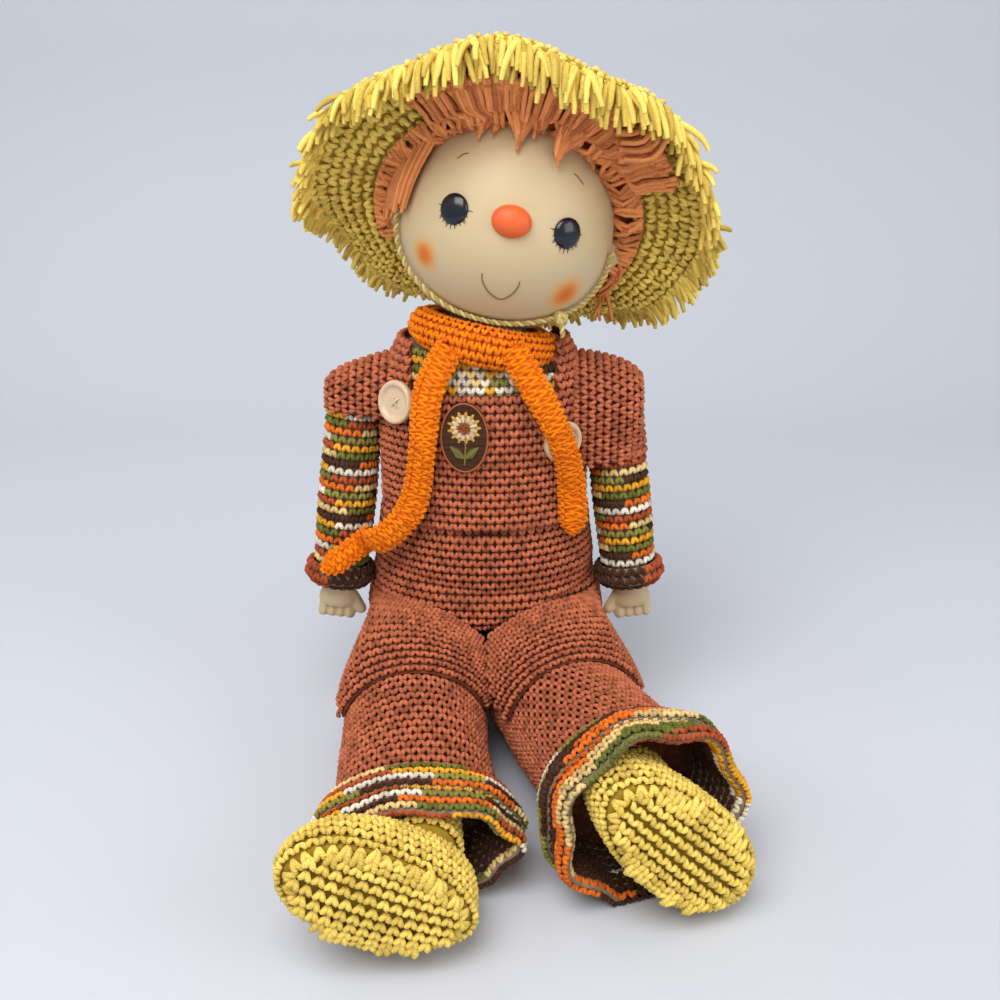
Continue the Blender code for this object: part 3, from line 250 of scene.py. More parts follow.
def limb_frame(start, run):
    """A frame whose Z axis runs down a limb from its pivot, with X kept level."""
    down = Vector(run).normalized()
    across = Vector((0, 0, 1)).cross(down)
    if across.length < 0.5:
        across = Vector((1, 0, 0)) - down * down.x
    across.normalize()
    turn = Matrix((across, down.cross(across), down)).transposed()
    return Matrix.Translation(start) @ turn.to_4x4()


def leg_frame(side, sign, rise=None):
    """The frame of a leg. Its shoe may have a rise of its own."""
    turn = math.radians(LEG_SPLAY[side]) * sign
    up = LEG_RISE[side] if rise is None else rise
    run = (math.sin(turn) * LEG_LENGTH, -math.cos(turn) * LEG_LENGTH, up)
    return limb_frame((sign * HIP_X, HIP_Y, HIP_Z), run)


def mirrored(point, sign):
    return Vector((sign * point[0], point[1], point[2]))


def arm_frame(sign):
    return limb_frame(mirrored(SHOULDER, sign), mirrored(WRIST, sign) - mirrored(SHOULDER, sign))


def in_frame(matrix, points):
    turn = np.array(matrix.to_3x3())
    return np.asarray(points, float) @ turn.T + np.array(matrix.translation)


def ring_at(matrix, turn, radius, distance):
    """Points round a frame's Z axis at a distance along it."""
    spots = [radius * np.cos(turn), radius * np.sin(turn), np.full_like(turn, distance)]
    return in_frame(matrix, np.stack(spots, axis=-1))


ARM_LENGTH = (Vector(WRIST) - Vector(SHOULDER)).length
HEAD_FRAME = Matrix.Translation(HEAD_CENTRE) @ Euler((0, math.radians(HEAD_LEAN), 0)).to_matrix().to_4x4()
HEAD_FRAME = HEAD_FRAME @ Euler((math.radians(HEAD_NOD), 0, 0)).to_matrix().to_4x4()
HAT_FRAME = HEAD_FRAME @ Matrix.Rotation(math.radians(-HAT_TIP_BACK), 4, "X")
print("arm length", round(ARM_LENGTH, 4), "head at", HEAD_CENTRE)

# %% [markdown]
# ## Yarn: rows of stitches along a form
# A single crochet stitch shows as a plump V. It would be slow to model thousands of them by hand, and
# a bump texture would leave the outline of the garment smooth. Here the row layout is worked out along
# the form first, with as many stitches as fit in each row, as a maker adds and drops stitches. Each
# stitch is a point that carries its own direction, size and place along the ball of yarn. A Geometry
# Nodes tree then sets one V on every point, leans it a little at random and makes it plain mesh.

# %% One stitch
STITCH_SIDES = 5
STRAND_PATH = [(0.02, -0.46, -0.10), (0.16, -0.20, 0.18), (0.30, 0.10, 0.24), (0.38, 0.38, 0.0)]
STRAND_THICKNESS = [0.18, 0.26, 0.265, 0.17]


def tube_points(path, radii, sides):
    """Rings of points round a path, with the ring's first point kept outermost."""
    path = np.array(path, float)
    run = unit(np.gradient(path, axis=0))
    across = unit(np.cross(run, (0.0, 0.0, 1.0)))
    out = np.cross(across, run)
    turns = TURN * np.arange(sides) / sides
    swing = across[:, None] * np.sin(turns)[None, :, None] + out[:, None] * np.cos(turns)[None, :, None]
    return path[:, None] + swing * np.array(radii, float)[:, None, None]


def tube_faces(rings, sides, start=0):
    faces = []
    for ring in range(rings - 1):
        for side in range(sides):
            after = (side + 1) % sides
            low = start + ring * sides
            faces.append((low + side, low + sides + side, low + sides + after, low + after))
    last = start + (rings - 1) * sides
    faces.append(tuple(start + side for side in range(sides)))
    faces.append(tuple(last + side for side in reversed(range(sides))))
    return faces


def tube_mesh(name, tubes, smooth=True):
    """One closed mesh from tubes. Each tube is an array of rings of points."""
    points = []
    faces = []
    for rings in tubes:
        faces += tube_faces(len(rings), len(rings[0]), len(points))
        points += np.reshape(rings, (-1, 3)).tolist()
    mesh = bpy.data.meshes.new(name)
    mesh.from_pydata(points, [], faces)
    shape = bmesh.new()
    shape.from_mesh(mesh)
    bmesh.ops.recalc_face_normals(shape, faces=shape.faces)
    shape.to_mesh(mesh)
    shape.free()
    if smooth:
        mesh.shade_smooth()
    return mesh


def strand_map(mesh, rings, sides):
    """A UV map that runs along each strand and once round it."""
    layer = mesh.uv_layers.new(name="strand")
    for face in mesh.polygons:
        spots = [(mesh.loops[loop].vertex_index % (rings * sides), loop) for loop in face.loop_indices]
        turns = [spot % sides for spot, _ in spots]
        wraps = max(turns) - min(turns) > sides / 2
        for (spot, loop), turn in zip(spots, turns):
            around = sides if wraps and turn == 0 else turn
            layer.data[loop].uv = (spot // sides / (rings - 1), around / sides)


def make_stitch():
    paths = [[(sign * x, y, z) for x, y, z in STRAND_PATH] for sign in (1, -1)]
    strands = [tube_points(path, STRAND_THICKNESS, STITCH_SIDES) for path in paths]
    mesh = tube_mesh("single_crochet", strands)
    strand_map(mesh, len(STRAND_PATH), STITCH_SIDES)
    return add("single_crochet", mesh)


STITCH = make_stitch()
print("one stitch has", len(STITCH.data.polygons), "faces")

# %% Where each stitch goes
RING_SAMPLES = 145
LEVEL_SAMPLES = 121
LOOK_SAMPLES = 8
NUDGE = 0.004
# A stitch is never shorter or taller than these shares of the row pitch
TALL_SHARES = (0.6, 1.5)
LEAST_TONE = 0.50
RANDOM = np.random.default_rng(7)


def row_levels(form, row_pitch):
    """The level of each row, evenly spaced along the form."""
    levels = np.linspace(0, 1, LEVEL_SAMPLES)
    look = np.linspace(0, 1, LOOK_SAMPLES + 1)[:-1]
    spine = np.array([form(look, level) for level in levels])
    step = np.linalg.norm(np.diff(spine, axis=0), axis=-1).mean(axis=1)
    run = np.concatenate([[0], np.cumsum(step)])
    rows = max(1, round(run[-1] / row_pitch))
    return np.interp((np.arange(rows) + 0.5) / rows * run[-1], run, levels), 1 / rows


def lay_rows(form, pitch, row_pitch, flip=1, plump=1.0):
    """Place, directions, size and place along the yarn of every stitch on a form."""
    levels, share = row_levels(form, row_pitch)
    around = np.linspace(0, 1, RING_SAMPLES)
    shortest, tallest = (part * row_pitch for part in TALL_SHARES)
    found = {"point": [], "facing": [], "along": [], "size": [], "yarn": []}
    used = 0.0
    for number, level in enumerate(levels):
        run = run_along(form(around, level))
        count = max(3, round(run[-1] / pitch))
        spots = (np.arange(count) + 0.25 + 0.5 * (number % 2)) / count * run[-1]
        u = np.interp(spots, run, around)
        along = form(u + NUDGE, level) - form(u - NUDGE, level)
        rise = form(u, min(level + share / 2, 1)) - form(u, max(level - share / 2, 0))
        tall = np.clip(np.linalg.norm(rise, axis=-1), shortest, tallest)
        size = np.stack([np.full(count, run[-1] / count), tall, np.full(count, pitch * plump)], axis=-1)
        found["point"].append(form(u, level))
        found["facing"].append(unit(np.cross(along, rise)) * flip)
        found["along"].append(unit(along) * flip)
        found["size"].append(size)
        found["yarn"].append(used + spots)
        used += run[-1]
    return {key: np.concatenate(value) for key, value in found.items()}


def carry(mesh, values):
    """Let a mesh's points carry numbers or vectors under a name."""
    for key, rows in values.items():
        rows = np.asarray(rows, np.float32)
        vector = rows.ndim == 2
        layer = mesh.attributes.new(key, "FLOAT_VECTOR" if vector else "FLOAT", "POINT")
        layer.data.foreach_set("vector" if vector else "value", rows.ravel())


def cloud(name, stitches):
    """Loose points that carry what each stitch needs."""
    mesh = bpy.data.meshes.new(name)
    mesh.from_pydata(stitches["point"].tolist(), [], [])
    tone = LEAST_TONE + (1 - LEAST_TONE) * RANDOM.random(len(stitches["point"]))
    carry(mesh, {**{key: stitches[key] for key in ("facing", "along", "size", "yarn")}, "tone": tone})
    return mesh


# %% The tree that sets a stitch on every point
def new_tree(title, kind, inputs, outputs):
    """An empty node tree with named sockets, and the outputs of its input node."""
    tree = bpy.data.node_groups.new(title, kind)
    for way, sockets in (("INPUT", inputs), ("OUTPUT", outputs)):
        for name, socket in sockets.items():
            tree.interface.new_socket(name, in_out=way, socket_type="NodeSocket" + socket)
    return tree, tree.nodes.new("NodeGroupInput").outputs


def node(tree, kind, values=None, out=0, **settings):
    """A node with its settings and inputs. What comes back is one of its outputs."""
    made = tree.nodes.new(kind)
    for key, value in settings.items():
        setattr(made, key, value)
    feed(made, values or {})
    return made.outputs[out]


def carried(tree, name, kind="FLOAT_VECTOR"):
    return node(tree, "GeometryNodeInputNamedAttribute", {"Name": name}, "Attribute", data_type=kind)


def stitch_tree():
    sockets = {"Points": "Geometry", "Stitch": "Object", "Lining": "Object", "Looseness": "Float",
               "Seed": "Int", "Yarn": "Material"}
    garment = {"Garment": "Geometry"}
    tree, given = new_tree("Set a stitch on every point", "GeometryNodeTree", sockets, garment)
    stand = node(tree, "FunctionNodeAlignRotationToVector", {"Vector": carried(tree, "facing")}, axis="Z")
    ways = {"Rotation": stand, "Vector": carried(tree, "along")}
    swing = node(tree, "FunctionNodeAlignRotationToVector", ways, axis="X", pivot_axis="Z")
    chances = {"Min": (-1, -1, -1), "Seed": given["Seed"]}
    chance = node(tree, "FunctionNodeRandomValue", chances, data_type="FLOAT_VECTOR")
    lean = node(tree, "ShaderNodeVectorMath", {0: chance, "Scale": given["Looseness"]}, operation="SCALE")
    tilt = node(tree, "FunctionNodeEulerToRotation", {"Euler": lean})
    turns = {"Rotation": swing, "Rotate By": tilt}
    turn = node(tree, "FunctionNodeRotateRotation", turns, rotation_space="LOCAL")
    shape = node(tree, "GeometryNodeObjectInfo", {"Object": given["Stitch"]}, "Geometry")
    places = {"Points": given["Points"], "Instance": shape, "Rotation": turn, "Scale": carried(tree, "size")}
    copies = node(tree, "GeometryNodeInstanceOnPoints", places)
    real = node(tree, "GeometryNodeRealizeInstances", {"Geometry": copies})
    # The lining has no tone, so the yarn paints it in its dark colour: painted shade between the stitches
    under = node(tree, "GeometryNodeObjectInfo", {"Object": given["Lining"]}, "Geometry")
    both = node(tree, "GeometryNodeJoinGeometry", {"Geometry": [under, real]})
    paint = node(tree, "GeometryNodeSetMaterial", {"Geometry": both, "Material": given["Yarn"]})
    feed(tree.nodes.new("NodeGroupOutput"), {"Garment": paint})
    return tree


STITCH_TREE = stitch_tree()


def baked(name, guide):
    """The plain mesh that an object's modifiers make of it. The object itself goes."""
    graph = bpy.context.evaluated_depsgraph_get()
    made = bpy.data.meshes.new_from_object(guide.evaluated_get(graph))
    bpy.data.objects.remove(guide)
    made.name = name
    return made


def grown(name, mesh, tree, values):
    """A plain mesh from a Geometry Nodes tree worked on a mesh, with the tree's inputs set by name."""
    guide = add(name, mesh)
    work = guide.modifiers.new("Work", "NODES")
    work.node_group = tree
    for item in tree.interface.items_tree:
        if item.item_type == "SOCKET" and item.in_out == "INPUT" and item.name in values:
            work[item.identifier] = values[item.name]
    return baked(name, guide)


print("tree inputs:", ", ".join(item.name for item in STITCH_TREE.interface.items_tree))

# %% Linings and pieces
SEEDS = iter(range(1, 1000))
BOTH_ENDS = ("first", "last")


def lining_mesh(name, form, around, levels, closed=True, caps=(), flip=1):
    """The smooth cloth under the stitches. Caps close its first or last ring."""
    us = np.linspace(0, 1, around + 1)
    if closed:
        us = us[:-1]
    rings = [form(us, level) for level in np.linspace(0, 1, levels + 1)]
    wide = len(us)
    faces = []
    for low in range(0, levels * wide, wide):
        for index in range(wide if closed else wide - 1):
            after = (index + 1) % wide
            faces.append((low + index, low + after, low + wide + after, low + wide + index))
    if "first" in caps:
        faces.append(tuple(reversed(range(wide))))
    if "last" in caps:
        faces.append(tuple(range(levels * wide, (levels + 1) * wide)))
    mesh = bpy.data.meshes.new(name)
    mesh.from_pydata(np.concatenate(rings).tolist(), [], [face[::flip] for face in faces])
    mesh.shade_smooth()
    return mesh


def thick_sheet(name, form, around, levels, wall, flip, closed=False):
    """A lining with a thickness, so that cloth with a free edge is closed all round."""
    guide = add(name, lining_mesh(name, form, around, levels, closed=closed, flip=flip))
    guide.modifiers.new("Wall", "SOLIDIFY").thickness = wall
    return baked(name, guide)


def piece(name, mesh, body, stands_for=(), material=None):
    """A named piece of the doll that rides on a body and stands for CAD nodes."""
    made = add(name, mesh)
    if material:
        mesh.materials.clear()
        mesh.materials.append(material)
    if body:
        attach(made, body)
    if stands_for:
        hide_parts(*stands_for)
    return made


def crocheted(name, stitches, yarn, under=None, looseness=0.10):
    """One mesh of stitches, with its lining where there is one."""
    values = {"Stitch": STITCH, "Looseness": looseness, "Seed": next(SEEDS), "Yarn": yarn}
    if under:
        values["Lining"] = add(name + "_under", under)
    mesh = grown(name, cloud(name + "_points", stitches), STITCH_TREE, values)
    if under:
        bpy.data.objects.remove(values["Lining"])
    print(name, len(stitches["point"]), "stitches,", len(mesh.polygons), "faces")
    return mesh


def stuffed(name, stitches, yarn, under, body, stands_for, looseness=0.10):
    """Stitches over a full lining, as one padded piece."""
    made = piece(name, crocheted(name, stitches, yarn, under, looseness), body, stands_for)


def thin_cloth(name, mesh, stitches, yarn, body, slot, stands_for=(), looseness=0.10, blend=None, **soft):
    """A sheet of cloth and the stitches on it. A sheet that crosses a joint rides on no body."""
    # The sheet has no tone, so the yarn paints it in its dark colour: painted shade under the stitches
    cloth = piece(name, mesh, body, stands_for, yarn)
    title = name.removesuffix("_cloth") + "_stitches"
    worked = piece(title, crocheted(title, stitches, yarn, None, looseness), body)
    if blend:
        for part in (cloth, worked):
            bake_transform(part)


# %% [markdown]
# ## Finishes
# Acrylic yarn is dull, a little fuzzy and never one colour: each stitch takes the light differently
# and the plies show as fine twists, painted as faint stripes of light and shade along the strand as
# well as raised by the bump. One shader group works that out for every yarn from the stitch's own tone
# and from the strand map, and each material gives it its own two colours. The lining has no tone, so
# the same material paints it in the dark colour: painted shade that shows between stitches.

# %% The yarn surface, shared by every yarn
FIBRE_SCALE = 1500.0
FIBRE_SHADE = 0.7
HEATHER_SCALE = 260.0
PLY_TWISTS = 3.0
PLY_SHADE = 0.07
PLY_HEIGHT = 0.35


def maths(tree, operation, *values, clamp=False):
    return node(tree, "ShaderNodeMath", dict(enumerate(values)), operation=operation, use_clamp=clamp)


def mix_colour(tree, share, first, second, blend="MIX"):
    values = {0: share, 6: first, 7: second}
    return node(tree, "ShaderNodeMix", values, 2, data_type="RGBA", blend_type=blend)


def noise(tree, place, scale, detail=2.0):
    return node(tree, "ShaderNodeTexNoise", {"Vector": place, "Scale": scale, "Detail": detail}, "Fac")


def yarn_group():
    sockets = {"DarkToneAndShade": "Color", "Light": "Color", "Heather": "Float"}
    tree, given = new_tree("Yarn surface", "ShaderNodeTree", sockets, {"Color": "Color", "Height": "Float"})
    # A mesh without a tone, such as a lining or a sheet under the stitches, reads 0 here and takes the dark
    # colour as painted shade
    tone = node(tree, "ShaderNodeAttribute", out="Fac", attribute_name="tone")
    place = node(tree, "ShaderNodeTexCoord", out="Object")
    fibre = noise(tree, place, FIBRE_SCALE)
    flecks = maths(tree, "SUBTRACT", noise(tree, place, HEATHER_SCALE), 0.5)
    flecks = maths(tree, "MULTIPLY", flecks, given["Heather"])
    strand = node(tree, "ShaderNodeUVMap", uv_map="strand")
    along, around = (node(tree, "ShaderNodeSeparateXYZ", {0: strand}, axis) for axis in "XY")
    winding = maths(tree, "ADD", maths(tree, "MULTIPLY", along, PLY_TWISTS), around)
    ply = maths(tree, "SINE", maths(tree, "MULTIPLY", winding, 2 * TURN))
    fuzz = maths(tree, "MULTIPLY", maths(tree, "SUBTRACT", fibre, 0.5), FIBRE_SHADE)
    mixed = maths(tree, "ADD", maths(tree, "ADD", tone, fuzz), flecks)
    lit = maths(tree, "ADD", mixed, maths(tree, "MULTIPLY", ply, PLY_SHADE), clamp=True)
    height = maths(tree, "ADD", fibre, maths(tree, "MULTIPLY", ply, PLY_HEIGHT))
    colour = mix_colour(tree, lit, given["DarkToneAndShade"], given["Light"])
    feed(tree.nodes.new("NodeGroupOutput"), {"Color": colour, "Height": height})
    return tree


YARN_GROUP = yarn_group()

# %% A material for each yarn
YARN_FINISH = {"Roughness": 0.92, "Sheen Weight": 0.05, "Sheen Roughness": 0.5, "Specular IOR Level": 0.08}
BUMP = {"Strength": 0.6, "Distance": 0.00035}
# Each yarn: its dark colour, which is also the painted shade of its linings and sheets, its light colour,
# and how flecked it is
YARNS = {
    "brown_tweed_yarn": ((0.12, 0.030, 0.014), (0.60, 0.175, 0.080), 1.1),
    "straw_yarn": ((0.40, 0.25, 0.030), (0.98, 0.75, 0.17), 0.4),
    "shoe_yarn": ((0.36, 0.23, 0.022), (0.98, 0.72, 0.16), 0.3),
    "orange_yarn": ((0.66, 0.11, 0.003), (1.0, 0.27, 0.005), 0.4),
    "copper_hair_yarn": ((0.38, 0.105, 0.032), (0.95, 0.37, 0.125), 0.5),
    "pale_tie_yarn": ((0.28, 0.19, 0.05), (0.74, 0.58, 0.22), 0.3),
}


def yarn_material(name, dark, light, heather):
    """A yarn between two colours, and the node that mixes them."""
    made, tree, shader = new_material(name, YARN_FINISH)
    group = tree.nodes.new("ShaderNodeGroup")
    group.node_tree = YARN_GROUP
    feed(group, {"DarkToneAndShade": dark, "Light": light, "Heather": heather})
    bump = node(tree, "ShaderNodeBump", {**BUMP, "Height": group.outputs["Height"]})
    feed(shader, {"Base Color": group.outputs["Color"], "Normal": bump})
    return made, group


BROWN_YARN, STRAW_YARN, SHOE_YARN, ORANGE_YARN, HAIR_YARN, TIE_YARN = (
    yarn_material(name, *look)[0] for name, look in YARNS.items())
print("plain yarns:", ", ".join(YARNS))

# %% The variegated yarn
MIXED_REPEAT = 0.262
MIXED_COLOURS = [
    (0.00, (0.95, 0.86, 0.68)),
    (0.13, (0.97, 0.46, 0.030)),
    (0.27, (0.50, 0.100, 0.030)),
    (0.41, (0.19, 0.20, 0.035)),
    (0.54, (0.93, 0.68, 0.28)),
    (0.66, (0.92, 0.20, 0.022)),
    (0.79, (0.090, 0.034, 0.018)),
    (0.91, (0.34, 0.32, 0.070)),
]
CREAM, YELLOW, RUST, GOLD, DARK, OLIVE = 0, 1, 2, 4, 6, 7
MIXED_SHADE = (0.24, 0.20, 0.18)


def mixed_material():
    made, group = yarn_material("variegated_yarn", (0, 0, 0), (1, 1, 1), 0.4)
    tree = made.node_tree
    place = node(tree, "ShaderNodeAttribute", out="Fac", attribute_name="yarn")
    ramp = tree.nodes.new("ShaderNodeValToRGB")
    feed(ramp, {"Fac": maths(tree, "FRACT", maths(tree, "DIVIDE", place, MIXED_REPEAT))})
    ramp.color_ramp.interpolation = "CONSTANT"
    while len(ramp.color_ramp.elements) < len(MIXED_COLOURS):
        ramp.color_ramp.elements.new(0.5)
    for element, (start, colour) in zip(ramp.color_ramp.elements, MIXED_COLOURS):
        element.position = start
        element.color = (*colour, 1)
    colour = ramp.outputs["Color"]
    feed(group, {"Light": colour, "DarkToneAndShade": mix_colour(tree, 1.0, colour, MIXED_SHADE, "MULTIPLY")})
    return made


def colour_at(index):
    """The place along the variegated yarn that has one of its colours."""
    ends = [start for start, _ in MIXED_COLOURS] + [1.0]
    return MIXED_REPEAT * (ends[index] + ends[index + 1]) / 2


MIXED_YARN = mixed_material()
print("variegated yarn repeats every", MIXED_REPEAT, "m with", len(MIXED_COLOURS), "colours")

# %% [markdown]
# ## Overalls and shirt
# The overalls are worked in rows of brown tweed. Below the waist seam they follow the stuffed seat and
# are drawn in by creases where the doll bends, and the lap is hollowed so that both legs can swing.
# Above the seam the bib and the wide straps lie over the shirt. The creases are moved in code, because
# the crochet is firm over its stuffing and a cloth simulation would lose the stitch rows.

# %% Lower half of the overalls
STITCH_PITCH = 0.0041
ROW_PITCH = 0.0038
# How deep the stitches and the lining lie below a garment's outer face
STITCH_SINK = 0.0021
LINING_SINK = 0.0031
LAP_RADIUS = 0.0328
SEAT_ROW_Z = 0.0030
SEAT_LINING_Z = 0.0002
SEAM_OVERLAP = 0.001
# Each crease: its height, how deep it draws in, how tall it is and how it climbs to the left
CREASES = [(0.1120, 0.0048, 0.0034, 0.0), (0.0800, 0.0020, 0.0038, -0.003), (0.0590, 0.0046, 0.0046, 0.012)]
CREASE_RISE = 0.0070
CREASE_REACH = 0.35
# How far the seat is stuffed out at its sides, at which height and how tall
SEAT_BULGE = (0.0035, 0.055, 0.030)


def lap_back(height):
    """How far back the hollow of the lap reaches at a height."""
    above = np.maximum(height - HIP_Z, 0)
    return HIP_Y + np.sqrt(np.maximum(LAP_RADIUS**2 - above**2, 0))


def overalls_form(sink, low=SEAT_ROW_Z, high=WAIST_SEAM_Z + SEAM_OVERLAP):
    def form(u, v):
        turn = TURN * u
        height = low + (high - low) * v
        front = np.clip(np.cos(turn) + CREASE_REACH, 0, 1)
        fold = np.zeros_like(turn)
        for level, depth, tall, climb in CREASES:
            gap = (height - level - CREASE_RISE * np.abs(np.sin(turn)) - climb * np.sin(turn)) / tall
            fold += depth * np.exp(-(gap**2)) * front
        points = torso_point(turn, height, OVERALL_OUT - sink)
        inwards = points - np.array((0, TORSO_Y, 0))
        inwards[:, 2] = 0
        bulge, middle, tall = SEAT_BULGE
        fold -= bulge * np.exp(-(((height - middle) / tall) ** 2)) * np.sin(turn) ** 2
        points -= unit(inwards) * fold[:, None]
        if height < HIP_Z + LAP_RADIUS:
            points[:, 1] = np.maximum(points[:, 1], lap_back(height) + sink)
        return points

    return form


under = lining_mesh("overalls_under", overalls_form(LINING_SINK, SEAT_LINING_Z), 64, 40, caps=BOTH_ENDS)
rows = lay_rows(overalls_form(STITCH_SINK), STITCH_PITCH, ROW_PITCH)
stuffed("overalls_seat", rows, BROWN_YARN, under, "torso", ("overalls_body", "torso_stuffing"))

# %% Bib and straps
BIB_HALF = 0.0322
BIB_TOP_Z = 0.1765
STRAP_TOP_Z = 0.1965
STRAP_SIDE_X = 0.0485
SEAM_TOP_Z = WAIST_SEAM_Z + 0.0012
SHEET_SINK = 0.0026
SHEET_WALL = 0.0006
BIB_FLAT = (0.072, 0.064)
STRAP_FLAT = (0.070, 0.085)


def bib_form(sink):
    def form(u, v):
        x = BIB_HALF * (2 * u - 1)
        height = SEAM_TOP_Z + (BIB_TOP_Z - SEAM_TOP_Z) * v
        return np.stack([x, chest_y(x, height, BIB_OUT - sink), np.full_like(x, height)], axis=-1)

    return form


def strap_form(sign, sink):
    def form(u, v):
        height = SEAM_TOP_Z + (STRAP_TOP_Z - SEAM_TOP_Z) * v
        width = float(torso_width(height, BIB_OUT - sink))
        start = math.asin(min(BIB_HALF / width, 0.98))
        points = torso_point(sign * (start + (math.pi - 2 * start) * u), height, BIB_OUT - sink)
        points[:, 0] = np.clip(points[:, 0], sink - STRAP_SIDE_X, STRAP_SIDE_X - sink)
        return points

    return form


def layer_of_overalls(name, make_form, flip, flat, node_name):
    sheet = thick_sheet(name, make_form(SHEET_SINK), 24, 24, SHEET_WALL, flip)
    rows = lay_rows(make_form(STITCH_SINK), STITCH_PITCH, ROW_PITCH, flip)
    thin_cloth(name, sheet, rows, BROWN_YARN, "torso", "brown_yarn", (node_name,),
               flat=flat, held="stretched", rests_on=["shirt"])


layer_of_overalls("overalls_front_bib", bib_form, 1, BIB_FLAT, "overalls_bib")
layer_of_overalls("strap_over_left", lambda sink: strap_form(1, sink), 1, STRAP_FLAT, "strap_left")
layer_of_overalls("strap_over_right", lambda sink: strap_form(-1, sink), -1, STRAP_FLAT, "strap_right")

# %% Shirt, seen at the neck and between the straps
SHIRT_TOP_Z = 0.1935
SHIRT_SHOWS_Z = 0.170
SHIRT_SIDE_X = 0.046
SHIRT_BACK_HALF = 0.036
SHIRT_LIGHT_HALF = 0.024
SHIRT_STITCH_SINK = 0.0018
SHIRT_LINING_SINK = 0.0024
NECK_COLOURS = (CREAM, CREAM, GOLD, YELLOW, OLIVE)


def shirt_form(sink):
    def form(u, v):
        height = SEAM_TOP_Z + (SHIRT_TOP_Z - SEAM_TOP_Z) * v
        points = torso_point(TURN * u, height, SHIRT_OUT - sink)
        points[:, 0] = np.clip(points[:, 0], sink - SHIRT_SIDE_X, SHIRT_SIDE_X - sink)
        return points

    return form


def picked(stitches, keep):
    return {key: value[keep] for key, value in stitches.items()}


under = lining_mesh("shirt_under", shirt_form(SHIRT_LINING_SINK), 48, 24, caps=BOTH_ENDS)
rows = lay_rows(shirt_form(SHIRT_STITCH_SINK), STITCH_PITCH, ROW_PITCH, plump=0.9)
at_back = (rows["point"][:, 1] > TORSO_Y) & (np.abs(rows["point"][:, 0]) < SHIRT_BACK_HALF)
rows = picked(rows, at_back | (rows["point"][:, 2] > SHIRT_SHOWS_Z))
at_neck = (rows["point"][:, 1] < TORSO_Y) & (np.abs(rows["point"][:, 0]) < SHIRT_LIGHT_HALF)
rows["yarn"][at_neck] = RANDOM.choice([colour_at(index) for index in NECK_COLOURS], at_neck.sum())
stuffed("shirt", rows, MIXED_YARN, under, "torso", ("shirt_body",))

# %% [markdown]
# ## Sleeves
# Each sleeve is worked in rounds from the shoulder down in variegated yarn, so its colours fall in
# short bands. The top of the shoulder is brown, and the end is a ring that is dark on its inner half
# and rust on its outer half. The sleeve turns with the arm, so all of it rides on the arm.

# %% Sleeves
ARM_OUT = 0.0139
ELBOW_OUT = 0.0143
SLEEVE_END_OUT = 0.0134
SLEEVE_RING = 0.0090
SLEEVE_END = ARM_LENGTH - SLEEVE_RING
SLEEVE_SHIFT = 0.07
UPPER_ARM = 0.30 * ARM_LENGTH
ELBOW = 0.55 * ARM_LENGTH
ARM_PLANE_X = 0.0490
CAP_EDGE_Z = {"left": 0.1400, "right": 0.1720}
CAP_LIFT = 0.0008
# Distance past the sleeve's end and radius, out and back inside
RING_LINE = [(0.0, 0.0150), (0.0035, 0.0164), (0.0085, 0.0166), (0.0092, 0.0152), (0.0030, 0.0135)]
RING_DARK_X = WRIST[0] + 0.004
RING_PITCH = (0.0044, 0.0042)
RING_STITCH_SINK = 0.0012
RING_LINING_SINK = 0.0014


def limb_line(radius, stations, tip_share=0.97, dome_points=12):
    """(distance, radius) along a limb, from the tip of its round end to its last station."""
    turns = np.linspace(math.pi / 2 * tip_share, 0, dome_points)
    dome = np.stack([-radius * np.sin(turns), radius * np.cos(turns)], axis=-1)
    body = smooth_through([(0, radius), *stations], 20)[1:]
    return np.concatenate([dome, body])


def ring_form(matrix, line, sink=0.0):
    """A band turned about a limb's axis from (distance, radius) points."""
    def form(u, v):
        distance, radius = at_share(line, v)
        return ring_at(matrix, TURN * u, radius - sink, distance)

    return form


def sleeve_form(sign, sink):
    """The arm in its sleeve, flat where it meets the body."""
    stations = [(UPPER_ARM, ARM_OUT), (ELBOW, ELBOW_OUT), (SLEEVE_END, SLEEVE_END_OUT)]
    round_form = ring_form(arm_frame(sign), limb_line(ARM_OUT, stations), sink)

    def form(u, v):
        points = round_form(u, v)
        points[:, 0] = np.maximum(points[:, 0] * sign, ARM_PLANE_X + sink) * sign
        return points

    return form


def make_sleeve(side, sign):
    body = f"{side}_arm"
    under = lining_mesh(f"sleeve_{side}_under", sleeve_form(sign, LINING_SINK), 32, 40, caps=BOTH_ENDS)
    rows = lay_rows(sleeve_form(sign, STITCH_SINK), STITCH_PITCH, ROW_PITCH)
    rows["yarn"] = rows["yarn"] + SLEEVE_SHIFT * sign
    brown = rows["point"][:, 2] > CAP_EDGE_Z[side]
    stuffed(f"sleeve_{side}_worked", picked(rows, ~brown), MIXED_YARN, under, body,
            (f"sleeve_{side}", f"arm_{side}"))
    cap = picked(rows, brown)
    cap["point"] = cap["point"] + cap["facing"] * CAP_LIFT
    name = f"shoulder_cap_{side}"
    piece(name, crocheted(name, cap, BROWN_YARN), body)
    line = [(SLEEVE_END + past, radius) for past, radius in RING_LINE]
    ring = lay_rows(ring_form(arm_frame(sign), line, RING_STITCH_SINK), *RING_PITCH)
    ring["yarn"] = np.where(ring["point"][:, 0] * sign < RING_DARK_X, colour_at(DARK), colour_at(RUST))
    band = lining_mesh(f"sleeve_{side}_ring", ring_form(arm_frame(sign), line, RING_LINING_SINK), 28, 10)
    name = f"sleeve_ring_{side}"
    piece(name, crocheted(name, ring, MIXED_YARN, band), body, (f"sleeve_cuff_{side}",))


for sleeve in SIDES:
    make_sleeve(*sleeve)

# %% [markdown]
# ## Trouser legs, hip folds and cuffs
# A seated leg is a little wider than it is tall and lies flat on the floor. It is worked in brown
# rounds from the hip to the hem. The cloth of the overalls runs on from the lap over the top of each
# leg as a loose fold, which crosses the hip joint. The cuff is a flared ruffle in two tiers of
# variegated yarn, and it is open, so its rounds turn over the mouth and go back inside in dark yarn.

